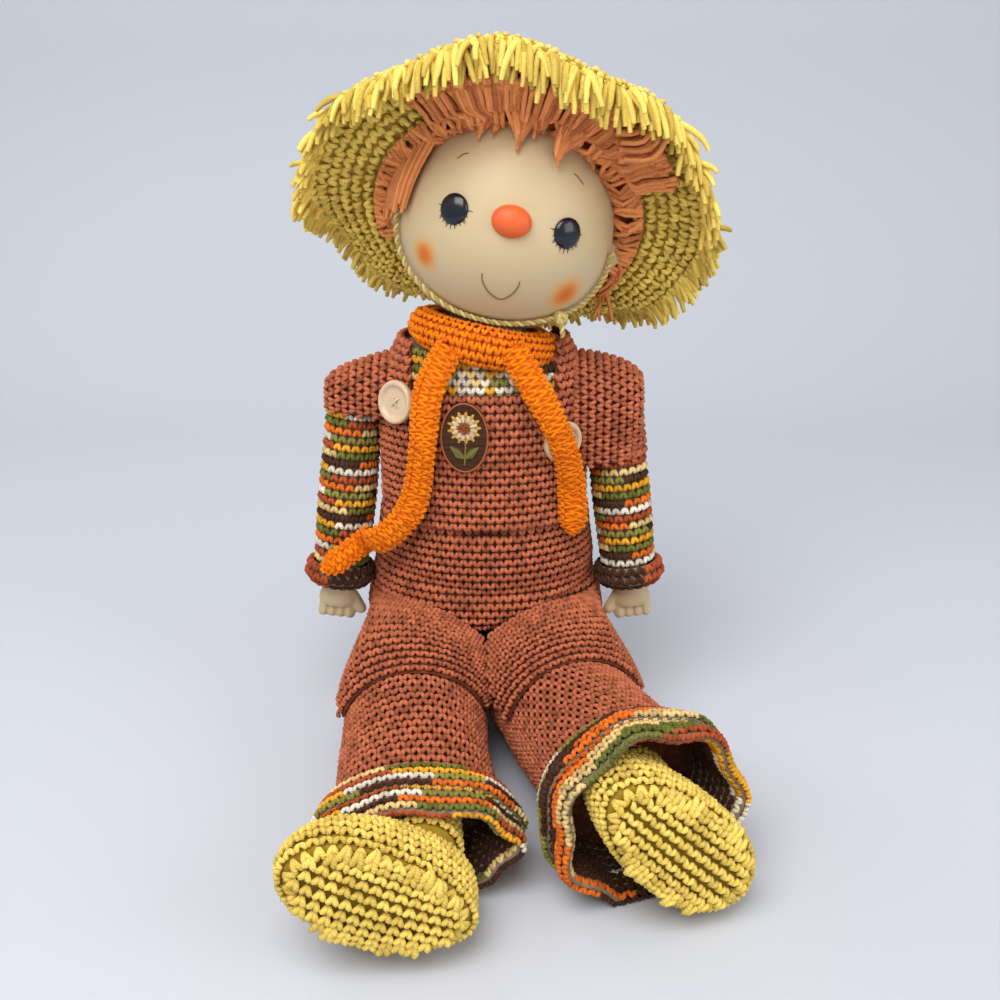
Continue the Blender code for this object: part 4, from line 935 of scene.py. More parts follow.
# %% Trouser legs
LEG_RADIUS = 0.0300
LEG_WIDTH_RATIO = 1.12
LEG_SAG = 0.0006
LEG_SAG_WAVES = 3
LEG_SAG_TWIST = 90
LEG_STATIONS = (0.022, 0.049)
LEG_LOOSENESS = 0.16
CUFF_LENGTH = 0.0290
CUFF_ROOT = 0.0312
CUFF_WAVE = 0.0022
CUFF_WAVES = 7
HEM = LEG_LENGTH - CUFF_LENGTH
FLOOR_ROOM = 0.0004
# The right leg is pressed flat towards its cuff: distance and share of its height
PRESSED = [(0.0300, 1.0), (0.0790, 0.66), (0.1080, 0.54)]


def above_floor(points, least):
    points[:, 2] = np.maximum(points[:, 2], least)
    return points


def leg_point(side, matrix, turn, distance, radius, wide, least):
    tall = np.interp(distance, *np.transpose(PRESSED)) if side == "right" else 1.0
    across = radius * wide * np.cos(turn)
    spots = np.stack([across, radius * tall * np.sin(turn), np.zeros_like(turn) + distance], axis=-1)
    return above_floor(in_frame(matrix, spots), least)


def leg_form(side, sign, sink):
    matrix = leg_frame(side, sign)
    line = limb_line(LEG_RADIUS, [*((place, LEG_RADIUS) for place in LEG_STATIONS), (HEM, CUFF_ROOT)])

    def form(u, v):
        distance, radius = at_share(line, v)
        turn = TURN * u
        sag = LEG_SAG * np.sin(LEG_SAG_WAVES * turn + LEG_SAG_TWIST * distance) * (distance > 0)
        size = radius - sink + sag
        return leg_point(side, matrix, turn, distance, size, LEG_WIDTH_RATIO, sink + FLOOR_ROOM)

    return form


def make_trouser_leg(side, sign):
    under = lining_mesh(f"trouser_{side}_under", leg_form(side, sign, LINING_SINK), 48, 40, caps=BOTH_ENDS)
    rows = lay_rows(leg_form(side, sign, STITCH_SINK), STITCH_PITCH, ROW_PITCH)
    stuffed(f"trouser_leg_{side}_worked", rows, BROWN_YARN, under, f"{side}_leg",
            (f"trouser_leg_{side}", f"leg_{side}"), LEG_LOOSENESS)


for trouser in SIDES:
    make_trouser_leg(*trouser)

# %% Folds over the hips
FOLD_TOP_Z = 0.0740
FOLD_SIDE_DROP = 0.0150
FOLD_SIDE_X = 0.0530
FOLD_HALF_TURN = 76.0
# Distance along the leg and lift of the fold's front and of its edge
FOLD_FRONT = (0.0150, 0.0050)
FOLD_EDGE = (0.0260, 0.0004)
FOLD_PUFF = np.array((0, -0.0060, 0.0020))
FOLD_LINING_SINK = 0.0006
FOLD_FLAT = (0.084, 0.046)
# Two places on the fold: behind the first it lies on the torso, past the second on the leg. It rides on no
# body
FOLD_BLEND = ((HIP_X, -0.0280, 0.0680), (HIP_X, -0.0540, 0.0620))


def hip_fold_form(side, sign, sink):
    """Cloth from the front of the overalls over the top of a leg."""
    matrix = leg_frame(side, sign)

    def on_leg(swing, distance, lift):
        size = LEG_RADIUS + lift - sink
        return leg_point(side, matrix, swing, distance, size, LEG_WIDTH_RATIO, FLOOR_ROOM)

    def form(u, v):
        swing = np.radians(90 + FOLD_HALF_TURN * (2 * u - 1))
        x = np.clip(sign * HIP_X + LEG_WIDTH_RATIO * LEG_RADIUS * np.cos(swing), -FOLD_SIDE_X, FOLD_SIDE_X)
        height = FOLD_TOP_Z - FOLD_SIDE_DROP * np.cos(swing) ** 2
        top = np.stack([x, chest_y(x, height, OVERALL_OUT) + sink, height], axis=-1)
        front = on_leg(swing, *FOLD_FRONT)
        puffed = (top + front) / 2 + FOLD_PUFF
        bend = (1 - v) ** 3 * top + 3 * (1 - v) ** 2 * v * puffed
        return bend + 3 * (1 - v) * v**2 * front + v**3 * on_leg(swing, *FOLD_EDGE)

    return form


def make_hip_fold(side, sign):
    name = f"hip_fold_{side}"
    sheet = thick_sheet(name, hip_fold_form(side, sign, FOLD_LINING_SINK), 40, 14, SHEET_WALL, 1)
    rows = lay_rows(hip_fold_form(side, sign, 0), STITCH_PITCH, ROW_PITCH)
    start, end = ((sign * x, y, z) for x, y, z in FOLD_BLEND)
    # A seated leg is a little wider than it is tall and lies flat on the floor. It is worked in brown rounds
    # from the hip to the hem. The cloth of the overalls runs on from the lap over the top of each leg as a
    # loose fold, which crosses the hip joint. The cuff is a flared ruffle in two tiers of variegated yarn,
    # and it is open, so its rounds turn over the mouth and go back inside, where they all take the darkest
    # colour of the yarn as painted shade.
    thin_cloth(name, sheet, rows, BROWN_YARN, None, "brown_yarn", blend=("torso", f"{side}_leg", start, end),
               flat=FOLD_FLAT, held="draped", rests_on=[f"trouser_leg_{side}_worked", "overalls_seat"])


for hip in SIDES:
    make_hip_fold(*hip)

# %% Cuffs, out along the ruffle, over its edge and back inside
CUFF_SINK = 0.0017
CUFF_LINING_SINK = 0.0006
CUFF_PITCH = 0.0042
# The share of the lower tier's stitches that shows outside
CUFF_OUTSIDE = 0.52
CUFF_START = {"right": 0.02, "left": 0.11}
UPPER_SHIFT = 0.06
# Each point: distance from the hem, radius, and how much of the ruffle it has
UPPER_TIER = [(0.0006, 0.0338, 0.0), (0.0075, 0.0372, 0.2), (0.0140, 0.0398, 0.5), (0.0150, 0.0386, 0.5),
              (0.0115, 0.0368, 0.3)]
LOWER_TIER = [(0.0125, 0.0362, 0.3), (0.0200, 0.0378, 0.7), (0.0270, 0.0398, 0.95), (0.0288, 0.0392, 1.0),
              (0.0280, 0.0372, 1.0), (0.0180, 0.0350, 0.6), (0.0060, 0.0325, 0.2), (-0.0010, 0.0296, 0.0)]
CUFF_FLATS = {"upper": (0.245, 0.019), "lower": (0.250, 0.032)}


def cuff_form(side, sign, tier, sink):
    matrix = leg_frame(side, sign)
    line = smooth_through(tier, 10 * len(tier))
    run = run_along(line[:, :2])

    def form(u, v):
        distance, radius, ruffle = at_share(line, v, run)
        turn = TURN * u
        size = radius + CUFF_WAVE * ruffle * np.cos(CUFF_WAVES * turn) - sink
        wide = LEG_WIDTH_RATIO + (1 - LEG_WIDTH_RATIO) * min(max(distance / CUFF_LENGTH, 0), 1)
        return leg_point(side, matrix, turn, HEM + distance, size, wide, CUFF_SINK + FLOOR_ROOM)

    return form


def make_cuff(side, sign):
    for name, tier in (("upper", UPPER_TIER), ("lower", LOWER_TIER)):
        lower = name == "lower"
        title = f"cuff_{name}_{side}"
        sheet = lining_mesh(title, cuff_form(side, sign, tier, CUFF_LINING_SINK), 72, 24)
        rows = lay_rows(cuff_form(side, sign, tier, 0), CUFF_PITCH, ROW_PITCH, plump=0.9)
        rows["yarn"] = rows["yarn"] + CUFF_START[side] + (0 if lower else UPPER_SHIFT)
        if lower:
            # The stitches that go back inside all take the darkest colour of the yarn: painted shade inside
            # the cuff
            rows["yarn"][int(CUFF_OUTSIDE * len(rows["yarn"])):] = colour_at(DARK)
        thin_cloth(title, sheet, rows, MIXED_YARN, f"{side}_leg", "mixed_yarn",
                   (f"trouser_cuff_{side}",) if lower else (), flat=CUFF_FLATS[name], held="gathered",
                   rests_on=[f"trouser_leg_{side}_worked"])


for cuff in SIDES:
    make_cuff(*cuff)

# %% [markdown]
# ## Shoes
# The shoes are stuffed ovals in thick straw yarn. The upper is worked in rounds from the ankle down to
# the edge of the sole, and the sole in rows along its length. A short sock in the same yarn closes the
# ankle inside the cuff.

# %% Shoes
SHOE_LENGTH = 0.0800
SHOE_WIDTH = 0.0450
SHOE_HEIGHT = 0.0300
SHOE_HEEL_BACK = 0.0230
SHOE_MIDDLE = SHOE_LENGTH / 2 - SHOE_HEEL_BACK
SHOE_STAND_OFF = 0.0010
SHOE_TOE_SPREAD = 0.10
SHOE_WAIST = 0.05
SHOE_SINK = 0.0030
# The least half length and half width of a ring, so that a sunk ring never turns inside out
SHOE_LEAST = (0.0184, 0.0004)
SHOE_PITCH = (0.0048, 0.0046)
SHOE_LOOSENESS = 0.12
SOLE_FROM = 0.9
SOLE_DEPTH = 0.24
SOLE_ROUND = 0.92
SOLE_FALL = 0.8
SOLE_SHARE = 0.82
SOLE_DOME = 0.0036
SOLE_LEVEL = 1.085
SOLE_ROW = 0.0050
SOCK_RADIUS = 0.0160
SOCK_TUCK = 0.004
SOCK_SINK = 0.0010
SOCK_PITCH = (0.0052, 0.0050)
SHOE_POSE = {"right": (155.0, 0.0), "left": (-45.0, -7.0)}
SHOE_SHIFT = {"right": (0.0, -0.0130, 0.0), "left": (-0.0069, 0.0078, -0.0180)}
# Each ring: its height, its size and how far its middle has moved to the toe
SHOE_RINGS = [(0.0, 0.58, 0.25), (0.15, 0.78, 0.48), (0.45, 0.95, 0.84), (0.78, 1.0, 1.0), (1.0, 0.99, 1.0),
              (1.09, 0.93, 1.0), (1.135, 0.80, 1.0), (1.17, 0.55, 1.0), (1.19, 0.28, 1.0), (1.20, 0.03, 1.0)]
UPPER_RINGS = SHOE_RINGS[:7]


def shoe_frame(side, sign):
    toe_up, point_toe = SHOE_POSE[side]
    swing = Matrix.Rotation(math.radians(toe_up), 4, "Z") @ Matrix.Rotation(math.radians(point_toe), 4, "Y")
    start = Vector(SHOE_SHIFT[side]) + Vector((0, 0, LEG_LENGTH + SHOE_STAND_OFF))
    return leg_frame(side, sign, SHOE_RISE) @ Matrix.Translation(start) @ swing


def shoe_form(side, sign, sink, shape=SHOE_RINGS):
    matrix = shoe_frame(side, sign)
    line = smooth_through(shape, 12 * len(shape))
    run = run_along(line[:, :2] * (SHOE_HEIGHT, SHOE_WIDTH / 2))

    def form(u, v):
        rise, share, lead = at_share(line, v, run)
        turn = TURN * u
        height = SHOE_HEIGHT * rise - sink * max(0, (rise - SOLE_FROM) / SOLE_DEPTH)
        long = max(SHOE_LENGTH / 2 * share - sink, SHOE_LEAST[0] * share)
        wide = max(SHOE_WIDTH / 2 * share - sink, SHOE_LEAST[1])
        waist = 1 + SHOE_TOE_SPREAD * np.cos(turn) - SHOE_WAIST * np.cos(2 * turn) ** 2
        spots = np.stack([SHOE_MIDDLE * lead + long * np.cos(turn), wide * waist * np.sin(turn),
                          np.full_like(turn, height)], axis=-1)
        return above_floor(in_frame(matrix, spots), sink + FLOOR_ROOM)

    return form


def sole_form(side, sign):
    """The sole in rows along its length, a little domed."""
    matrix = shoe_frame(side, sign)

    def form(u, v):
        across = SOLE_SHARE * (2 * v - 1)
        ahead = (2 * u - 1) * math.sqrt(1 - SOLE_ROUND * (2 * v - 1) ** 2)
        dome = SOLE_DOME * (1 - SOLE_FALL * across**2) * (1 - SOLE_FALL * ahead**2)
        wide = SHOE_WIDTH / 2 * across * (1 + SHOE_TOE_SPREAD * ahead)
        long = SHOE_MIDDLE + SHOE_LENGTH / 2 * SOLE_SHARE * ahead
        spots = np.stack([long, wide, SOLE_LEVEL * SHOE_HEIGHT + dome], axis=-1)
        return above_floor(in_frame(matrix, spots), STITCH_SINK + FLOOR_ROOM)

    return form


def make_shoe(side, sign):
    body = f"{side}_leg"
    under = lining_mesh(f"shoe_{side}_under", shoe_form(side, sign, SHOE_SINK), 56, 48, caps=BOTH_ENDS)
    upper = lay_rows(shoe_form(side, sign, STITCH_SINK, UPPER_RINGS), *SHOE_PITCH, plump=0.95)
    sole = lay_rows(sole_form(side, sign), SOLE_ROW, SOLE_ROW)
    rows = {key: np.concatenate([upper[key], sole[key]]) for key in upper}
    stuffed(f"shoe_{side}_worked", rows, SHOE_YARN, under, body,
            (f"shoe_{side}", f"shoe_sole_{side}"), SHOE_LOOSENESS)
    matrix = leg_frame(side, sign)
    line = [(HEM - SOCK_TUCK, SOCK_RADIUS), (LEG_LENGTH + SHOE_SHIFT[side][2], SOCK_RADIUS)]
    rows = lay_rows(ring_form(matrix, line), *SOCK_PITCH, plump=0.9)
    under = lining_mesh(f"sock_{side}_under", ring_form(matrix, line, SOCK_SINK), 28, 4, caps=BOTH_ENDS)
    stuffed(f"sock_{side}", rows, SHOE_YARN, under, body, ())


for shoe in SIDES:
    make_shoe(*shoe)

# %% [markdown]
# ## Head, face and hands
# The head is one hollow vinyl moulding with a flat, round face and small ears. The blush is sprayed on,
# so it is part of the material: two soft spots measured from their centres in the head's own frame.
# The mouth, the brows and the lashes are painted with a fine brush, and here they are thin strokes that
# lie on the surface. All of it turns with the neck.

# %% The head's surface and its finish
HEAD_RADIUS = 0.0480
HEAD_TOP = 0.0520
HEAD_BOTTOM = 0.0520
CHEEK_DROP = 0.0100
NECK_RADIUS = 0.0165
NECK_END = 0.0665
EAR_SIZE = (0.0068, 0.0062, 0.0105)
EAR_PLACE = (0.0472, 0.0020, -0.0060)
VINYL_COLOUR = (0.60, 0.465, 0.270)
VINYL_SHADE = tuple(0.94 * part for part in VINYL_COLOUR)
VINYL_FINISH = {"Roughness": 0.42, "Specular IOR Level": 0.35, "Subsurface Weight": 0.10,
                "Subsurface Radius": (1.0, 0.6, 0.35), "Subsurface Scale": 0.003}
MOTTLE_SCALE = 22.0
# Each spot: its place in the head's own frame and its size
BLUSH_PLACES = [((-0.0324, -0.0313, -0.0244), 0.95), ((0.0296, -0.0313, -0.0285), 1.15)]
# The edge and the middle of a spot: colour, where it starts to fade, where it ends and how strong it is
BLUSH_LAYERS = [((0.70, 0.30, 0.03), 0.0030, 0.0105, 0.85), ((0.66, 0.13, 0.006), 0.0010, 0.0066, 0.9)]


def head_radius(height):
    height = np.asarray(height)
    tall = np.where(height > -CHEEK_DROP, HEAD_TOP + CHEEK_DROP, HEAD_BOTTOM - CHEEK_DROP)
    return HEAD_RADIUS * np.sqrt(np.maximum(1 - ((height + CHEEK_DROP) / tall) ** 2, 0))


def on_head(turn, height, lift):
    """Points of the head's own frame at a turn in degrees from the face, a height and a lift."""
    turn = np.radians(np.asarray(turn, float))
    height = np.asarray(height, float)
    radius = head_radius(height)
    points = np.stack([radius * np.sin(turn), -radius * np.cos(turn), height + 0 * turn], axis=-1)
    return points + unit(points - np.array((0, 0, -CHEEK_DROP))) * np.asarray(lift)[..., None]


def head_line():
    """(radius, height) from the end of the neck round the jaw to the top."""
    lower = np.linspace(math.acos(NECK_RADIUS / HEAD_RADIUS), 0, 25)
    upper = np.linspace(0, 0.995 * math.pi / 2, 30)[1:]
    low = -CHEEK_DROP - (HEAD_BOTTOM - CHEEK_DROP) * np.sin(lower)
    high = -CHEEK_DROP + (HEAD_TOP + CHEEK_DROP) * np.sin(upper)
    radii = HEAD_RADIUS * np.cos(np.concatenate([lower, upper]))
    skin = np.stack([radii, np.concatenate([low, high])], axis=-1)
    return np.concatenate([[(NECK_RADIUS, -NECK_END)], skin])


HEAD_LINE = head_line()


def head_form(u, v):
    radius, height = at_share(HEAD_LINE, v)
    return ring_at(HEAD_FRAME, TURN * u - math.pi / 2, radius, height)


def ball(radii, matrix, around=32, rings=20):
    """A smooth egg shape in a frame."""
    mesh = bpy.data.meshes.new("egg")
    shape = bmesh.new()
    bmesh.ops.create_uvsphere(shape, u_segments=around, v_segments=rings, radius=1.0)
    bmesh.ops.transform(shape, matrix=matrix @ Matrix.Diagonal((*radii, 1)), verts=shape.verts)
    shape.to_mesh(mesh)
    shape.free()
    mesh.shade_smooth()
    return mesh


def merged(name, meshes):
    """Several meshes as one."""
    shape = bmesh.new()
    for mesh in meshes:
        shape.from_mesh(mesh)
    made = bpy.data.meshes.new(name)
    shape.to_mesh(made)
    shape.free()
    made.shade_smooth()
    return made


def fading(tree, distance, near, far, most):
    """The most at the near distance, falling to nothing at the far one."""
    values = {"Value": distance, "From Min": near, "From Max": far, "To Min": 1.0, "To Max": 0.0}
    share = node(tree, "ShaderNodeMapRange", values, "Result", interpolation_type="SMOOTHSTEP")
    return maths(tree, "MULTIPLY", share, most)


def vinyl_material(name, blush):
    made, tree, shader = new_material(name, VINYL_FINISH)
    place = node(tree, "ShaderNodeTexCoord", out="Object")
    values = {"Vector": place, "Location": HEAD_FRAME.translation, "Rotation": HEAD_FRAME.to_euler()}
    local = node(tree, "ShaderNodeMapping", values, vector_type="TEXTURE")
    colour = mix_colour(tree, noise(tree, place, MOTTLE_SCALE), VINYL_SHADE, VINYL_COLOUR)
    for spot, size in blush:
        away = node(tree, "ShaderNodeVectorMath", {0: local, 1: spot}, "Value", operation="DISTANCE")
        for tint, near, far, most in BLUSH_LAYERS:
            colour = mix_colour(tree, fading(tree, away, near * size, far * size, most), colour, tint)
    feed(shader, {"Base Color": colour})
    return made


FACE_VINYL = vinyl_material("face_vinyl", BLUSH_PLACES)
HAND_VINYL = vinyl_material("hand_vinyl", [])
head_parts = [lining_mesh("head_shell", head_form, 96, 72, caps=BOTH_ENDS)]
for _, ear_sign in SIDES:
    head_parts.append(ball(EAR_SIZE, HEAD_FRAME @ Matrix.Translation(mirrored(EAR_PLACE, ear_sign))))
head_mesh = merged("vinyl_head_smooth", head_parts)
piece("vinyl_head_smooth", head_mesh, "head", ("vinyl_head",), FACE_VINYL)
print("head and ears made")

# %% Eyes, nose and painted strokes
EYE_X, EYE_Z = 0.0236, -0.0034
EYE_SIZE = (0.0064, 0.0027, 0.0064)
NOSE_Z = -0.0034
NOSE_SIZE = (0.0083, 0.0052, 0.0066)
STROKE_SIDES = 6
STROKE_LIFT = 0.00005
# Mouth and brows: turn in degrees from the face and height
MOUTH = [(-9.5, -0.0262), (-9.0, -0.0290), (-5.6, -0.0326), (0.0, -0.0349), (5.0, -0.0351), (9.6, -0.0320),
         (11.2, -0.0285), (11.0, -0.0262)]
MOUTH_RADIUS = 0.00042
BROWS = [[(-37.5, 0.0162), (-34.5, 0.0184), (-31.5, 0.0192)],
         [(30.8, 0.0203), (34.0, 0.0192), (37.8, 0.0168)]]
BROW_RADIUS = 0.00034
LASHES = 15
LASH_LENGTH = 0.0013
LASH_ROOT = EYE_SIZE[0] - 0.0006
LASH_RADII = np.array([0.00028, 0.00010])


def gloss_material(name, colour, roughness, coat=0.0):
    values = {"Base Color": colour, "Roughness": roughness, "Coat Weight": coat, "Coat Roughness": 0.05}
    return new_material(name, values)[0]


def swept(path, radii, sides):
    """Rings of points round any path, carried along it without twisting."""
    path = np.array(path, float)
    radii = np.zeros(len(path)) + radii
    run = unit(np.gradient(path, axis=0))
    side = np.cross(run[0], (0.31, 0.52, 0.79))
    rings = []
    turns = TURN * np.arange(sides) / sides
    for point, ahead, radius in zip(path, run, radii):
        side = unit(side - ahead * np.dot(side, ahead))
        other = np.cross(ahead, side)
        swing = np.outer(np.cos(turns), side) + np.outer(np.sin(turns), other)
        rings.append(point + swing * radius)
    return np.array(rings)


def stroke_mesh(name, strokes, matrix):
    """Closed round strokes along paths in a frame. Each stroke has a path and its radii."""
    return tube_mesh(name, [swept(in_frame(matrix, path), radii, STROKE_SIDES) for path, radii in strokes])


def face_frame(turn, height):
    spot = Vector(on_head(turn, height, 0.0))
    return HEAD_FRAME @ Matrix.Translation(spot) @ Matrix.Rotation(math.radians(turn), 4, "Z")


def eye_turn(sign):
    return math.degrees(math.asin(sign * EYE_X / float(head_radius(EYE_Z))))


def brushed(stations, radius, count):
    line = smooth_through(stations, count)
    path = on_head(line[:, 0], line[:, 1], np.full(count, STROKE_LIFT))
    ends = np.sin(np.linspace(0.12, 0.88, count) * math.pi)
    return path, radius * (0.35 + 0.65 * ends)


def lash_strokes(sign):
    strokes = []
    for index in range(LASHES):
        turn = math.radians(-175 + 170 * index / (LASHES - 1) + 9 * (index % 3 - 1))
        reach = EYE_SIZE[0] + LASH_LENGTH * (1 + 0.5 * math.cos(2.7 * index))
        ring = np.array([LASH_ROOT, reach])
        across = eye_turn(sign) + np.degrees(ring * math.cos(turn) / HEAD_RADIUS)
        path = on_head(across, EYE_Z + ring * math.sin(turn), np.full(2, STROKE_LIFT))
        strokes.append((path, LASH_RADII))
    return strokes


EYE_GLOSS = gloss_material("black_eye", (0.003, 0.004, 0.010), 0.22, 0.15)
NOSE_PAINT = gloss_material("orange_nose", (0.78, 0.115, 0.018), 0.5)
STROKE_PAINT = gloss_material("brown_brush_paint", (0.25, 0.11, 0.035), 0.6)
for eye_side, eye_sign in SIDES:
    eye_mesh = ball(EYE_SIZE, face_frame(eye_turn(eye_sign), EYE_Z))
    piece(f"eye_{eye_side}_gloss", eye_mesh, "head", (f"eye_{eye_side}",), EYE_GLOSS)
piece("nose_painted", ball(NOSE_SIZE, face_frame(0.0, NOSE_Z)), "head", ("nose",), NOSE_PAINT)
painted = [brushed(MOUTH, MOUTH_RADIUS, 40)] + [brushed(brow, BROW_RADIUS, 9) for brow in BROWS]
mouth = stroke_mesh("mouth_and_brows", painted, HEAD_FRAME)
piece("mouth_and_brows", mouth, "head", (), STROKE_PAINT)
lashes = stroke_mesh("lashes", lash_strokes(-1) + lash_strokes(1), HEAD_FRAME)
piece("lashes", lashes, "head", (), EYE_GLOSS)
print("face painted with", len(painted), "strokes and", 2 * LASHES, "lashes")

# %% Hands
HAND_TOP = ARM_LENGTH + 0.0003
HAND_LENGTH = 0.0210
HAND_WIDTH = 0.0190
HAND_THICKNESS = 0.0112
HAND_STEM = 0.0064
HAND_SIDES = 24
FINGER_RADIUS = 0.0030
FINGER_LENGTH = 0.0085
THUMB_RISE = 0.0075
HAND_VOXEL = 0.0006
# Distance down the arm, half width and half thickness
PALM = [(ARM_LENGTH - 0.013, HAND_STEM, HAND_STEM),
        (HAND_TOP, HAND_STEM, HAND_STEM),
        (HAND_TOP + 0.20 * HAND_LENGTH, 0.40 * HAND_WIDTH, HAND_THICKNESS / 2),
        (HAND_TOP + 0.50 * HAND_LENGTH, 0.50 * HAND_WIDTH, HAND_THICKNESS / 2),
        (HAND_TOP + 0.68 * HAND_LENGTH, 0.42 * HAND_WIDTH, 0.40 * HAND_THICKNESS)]


def capsule(start, end, matrix):
    """A round-ended finger between two points of a frame."""
    path = np.linspace(start, end, 8)
    axis = unit(np.array(end, float) - np.array(start, float))
    cap = np.array([0.30, 0.60, 0.85])
    path = np.concatenate([path, np.array(end) + np.outer(cap * FINGER_RADIUS, axis)])
    radii = FINGER_RADIUS * np.concatenate([np.ones(8), np.sqrt(1 - cap**2)])
    return stroke_mesh("finger", [(path, radii)], matrix)


def make_hand(side, sign):
    matrix = arm_frame(sign) @ Matrix.Rotation(-sign * math.pi / 2, 4, "Z")
    turns = TURN * np.arange(HAND_SIDES) / HAND_SIDES
    rings = [np.stack([thick * np.cos(turns), wide * np.sin(turns), np.full(HAND_SIDES, at)], axis=-1)
             for at, wide, thick in smooth_through(PALM, 24)]
    parts = [tube_mesh("palm", [in_frame(matrix, rings)])]
    tip = HAND_TOP + HAND_LENGTH - FINGER_RADIUS
    reach = HAND_WIDTH / 2 - FINGER_RADIUS
    for offset in np.linspace(-reach, reach, 4):
        parts.append(capsule((0, 0.9 * offset, tip - FINGER_LENGTH), (0, offset, tip), matrix))
    thumb = HAND_TOP + 0.35 * HAND_LENGTH
    out = -HAND_WIDTH / 2 - 0.7 * FINGER_RADIUS
    parts.append(capsule((0, -reach, thumb), (0, out, thumb + THUMB_RISE), matrix))
    guide = add("hand_guide", merged("hand_guide", parts))
    remesh = guide.modifiers.new("Blend", "REMESH")
    remesh.mode = "VOXEL"
    remesh.voxel_size = HAND_VOXEL
    soften = guide.modifiers.new("Soften", "SMOOTH")
    soften.factor = 0.5
    soften.iterations = 4
    hand = baked(f"hand_{side}_smooth", guide)
    hand.shade_smooth()
    piece(f"hand_{side}_smooth", hand, f"{side}_hand", (f"hand_{side}",), HAND_VINYL)
    print("hand", side, len(hand.polygons), "faces")


for hand in SIDES:
    make_hand(*hand)

# %% [markdown]
# ## Hat, fringe and hair
# The hat sits far back on the head, so the under side of its brim frames the face. Its edge carries a
# fringe of cut yarn, and more yarn makes the hair. Both are many thin lines: the lines are drawn first
# as plain edges with their own thickness, and a second Geometry Nodes tree turns every line into yarn.

# %% The tree that turns lines into yarn
LEAST_LINE_TONE = 0.25


def yarn_line_tree():
    sockets = {"Lines": "Geometry", "Radius": "Float", "Sides": "Int", "Yarn": "Material"}
    tree, given = new_tree("Turn every line into yarn", "GeometryNodeTree", sockets, {"Yarns": "Geometry"})
    curve = node(tree, "GeometryNodeMeshToCurve", {"Mesh": given["Lines"]})
    radius = maths(tree, "MULTIPLY", carried(tree, "thick", "FLOAT"), given["Radius"])
    ring = node(tree, "GeometryNodeCurvePrimitiveCircle", {"Radius": 1.0, "Resolution": given["Sides"]})
    solid = node(tree, "GeometryNodeCurveToMesh",
                 {"Curve": curve, "Scale": radius, "Profile Curve": ring, "Fill Caps": True})
    real = node(tree, "GeometryNodeRealizeInstances", {"Geometry": solid})
    smooth = node(tree, "GeometryNodeSetShadeSmooth", {"Geometry": real})
    paint = node(tree, "GeometryNodeSetMaterial", {"Geometry": smooth, "Material": given["Yarn"]})
    feed(tree.nodes.new("NodeGroupOutput"), {"Yarns": paint})
    return tree


YARN_LINE_TREE = yarn_line_tree()


def yarn_lines(name, lines, radius, yarn, sides=5, taper=0.35):
    """One mesh of yarn along many lines. Each line is an array of points."""
    points = []
    edges = []
    tones = []
    widths = []
    for line in lines:
        start = len(points)
        points += np.asarray(line).tolist()
        edges += [(start + index, start + index + 1) for index in range(len(line) - 1)]
        tones += [LEAST_LINE_TONE + (1 - LEAST_LINE_TONE) * RANDOM.random()] * len(line)
        widths += (1 - taper * np.linspace(0, 1, len(line)) ** 3).tolist()
    mesh = bpy.data.meshes.new(name + "_lines")
    mesh.from_pydata(points, edges, [])
    carry(mesh, {"tone": tones, "thick": widths})
    made = grown(name, mesh, YARN_LINE_TREE, {"Radius": radius, "Sides": sides, "Yarn": yarn})
    print(name, len(lines), "yarns,", len(made.polygons), "faces")
    return made


# %% Crown and brim
HAT_ROOT = 0.0590
BRIM_INNER = 0.0545
BRIM_RADIUS = 0.0880
BRIM_LOW = 0.0800
BRIM_FORWARD = 0.0080
BRIM_SWEEP_BACK = 0.0220
BRIM_WALL = 0.0034
BRIM_CLOTH = 0.0008
BRIM_WAVE = 0.0050
BRIM_WAVES = 7
BRIM_LOOSENESS = 0.50
CROWN_LOOSENESS = 0.16
HAT_PITCH = 0.0050
CROWN_TIP = 0.985
CROWN_STITCH_SINK = 0.0018
CROWN_LINING_SINK = 0.0026
BRIM_HALF = 0.0010
BRIM_FLAT = (0.462, 0.029)


def crown_form(sink):
    def form(u, v):
        rise = math.pi / 2 * CROWN_TIP * v
        size = HAT_ROOT - sink
        return ring_at(HAT_FRAME, TURN * u, size * math.cos(rise), size * math.sin(rise))

    return form


def brim_point(angle, radius):
    """Points on the middle of the brim, in the hat's frame. Its low back sweeps away from the shoulders."""
    share = (radius - HAT_ROOT) / (BRIM_RADIUS - HAT_ROOT)
    low = np.maximum(0, -np.sin(angle))
    reach = radius - (BRIM_RADIUS - BRIM_LOW) * low * share
    lift = (BRIM_SWEEP_BACK + BRIM_FORWARD) * low - BRIM_FORWARD
    wave = BRIM_WAVE * np.cos(BRIM_WAVES * angle)
    level = share**2 * (lift + wave) - BRIM_WALL / 2
    return np.stack([reach * np.cos(angle), -reach * np.sin(angle), level], axis=-1)


def brim_form(half):
    """Out along the upper side of the brim, over its edge and back along the under side."""
    def form(u, v):
        out = min((1 - abs(2 * v - 1)) * 1.02, 1)
        points = brim_point(TURN * u, BRIM_INNER + (BRIM_RADIUS - BRIM_INNER) * out)
        points[:, 2] += np.clip((0.5 - v) * 12, -1, 1) * half
        return in_frame(HAT_FRAME, points)

    return form


def brim_middle(u, v):
    return in_frame(HAT_FRAME, brim_point(TURN * u, BRIM_INNER + (BRIM_RADIUS - BRIM_INNER) * v))


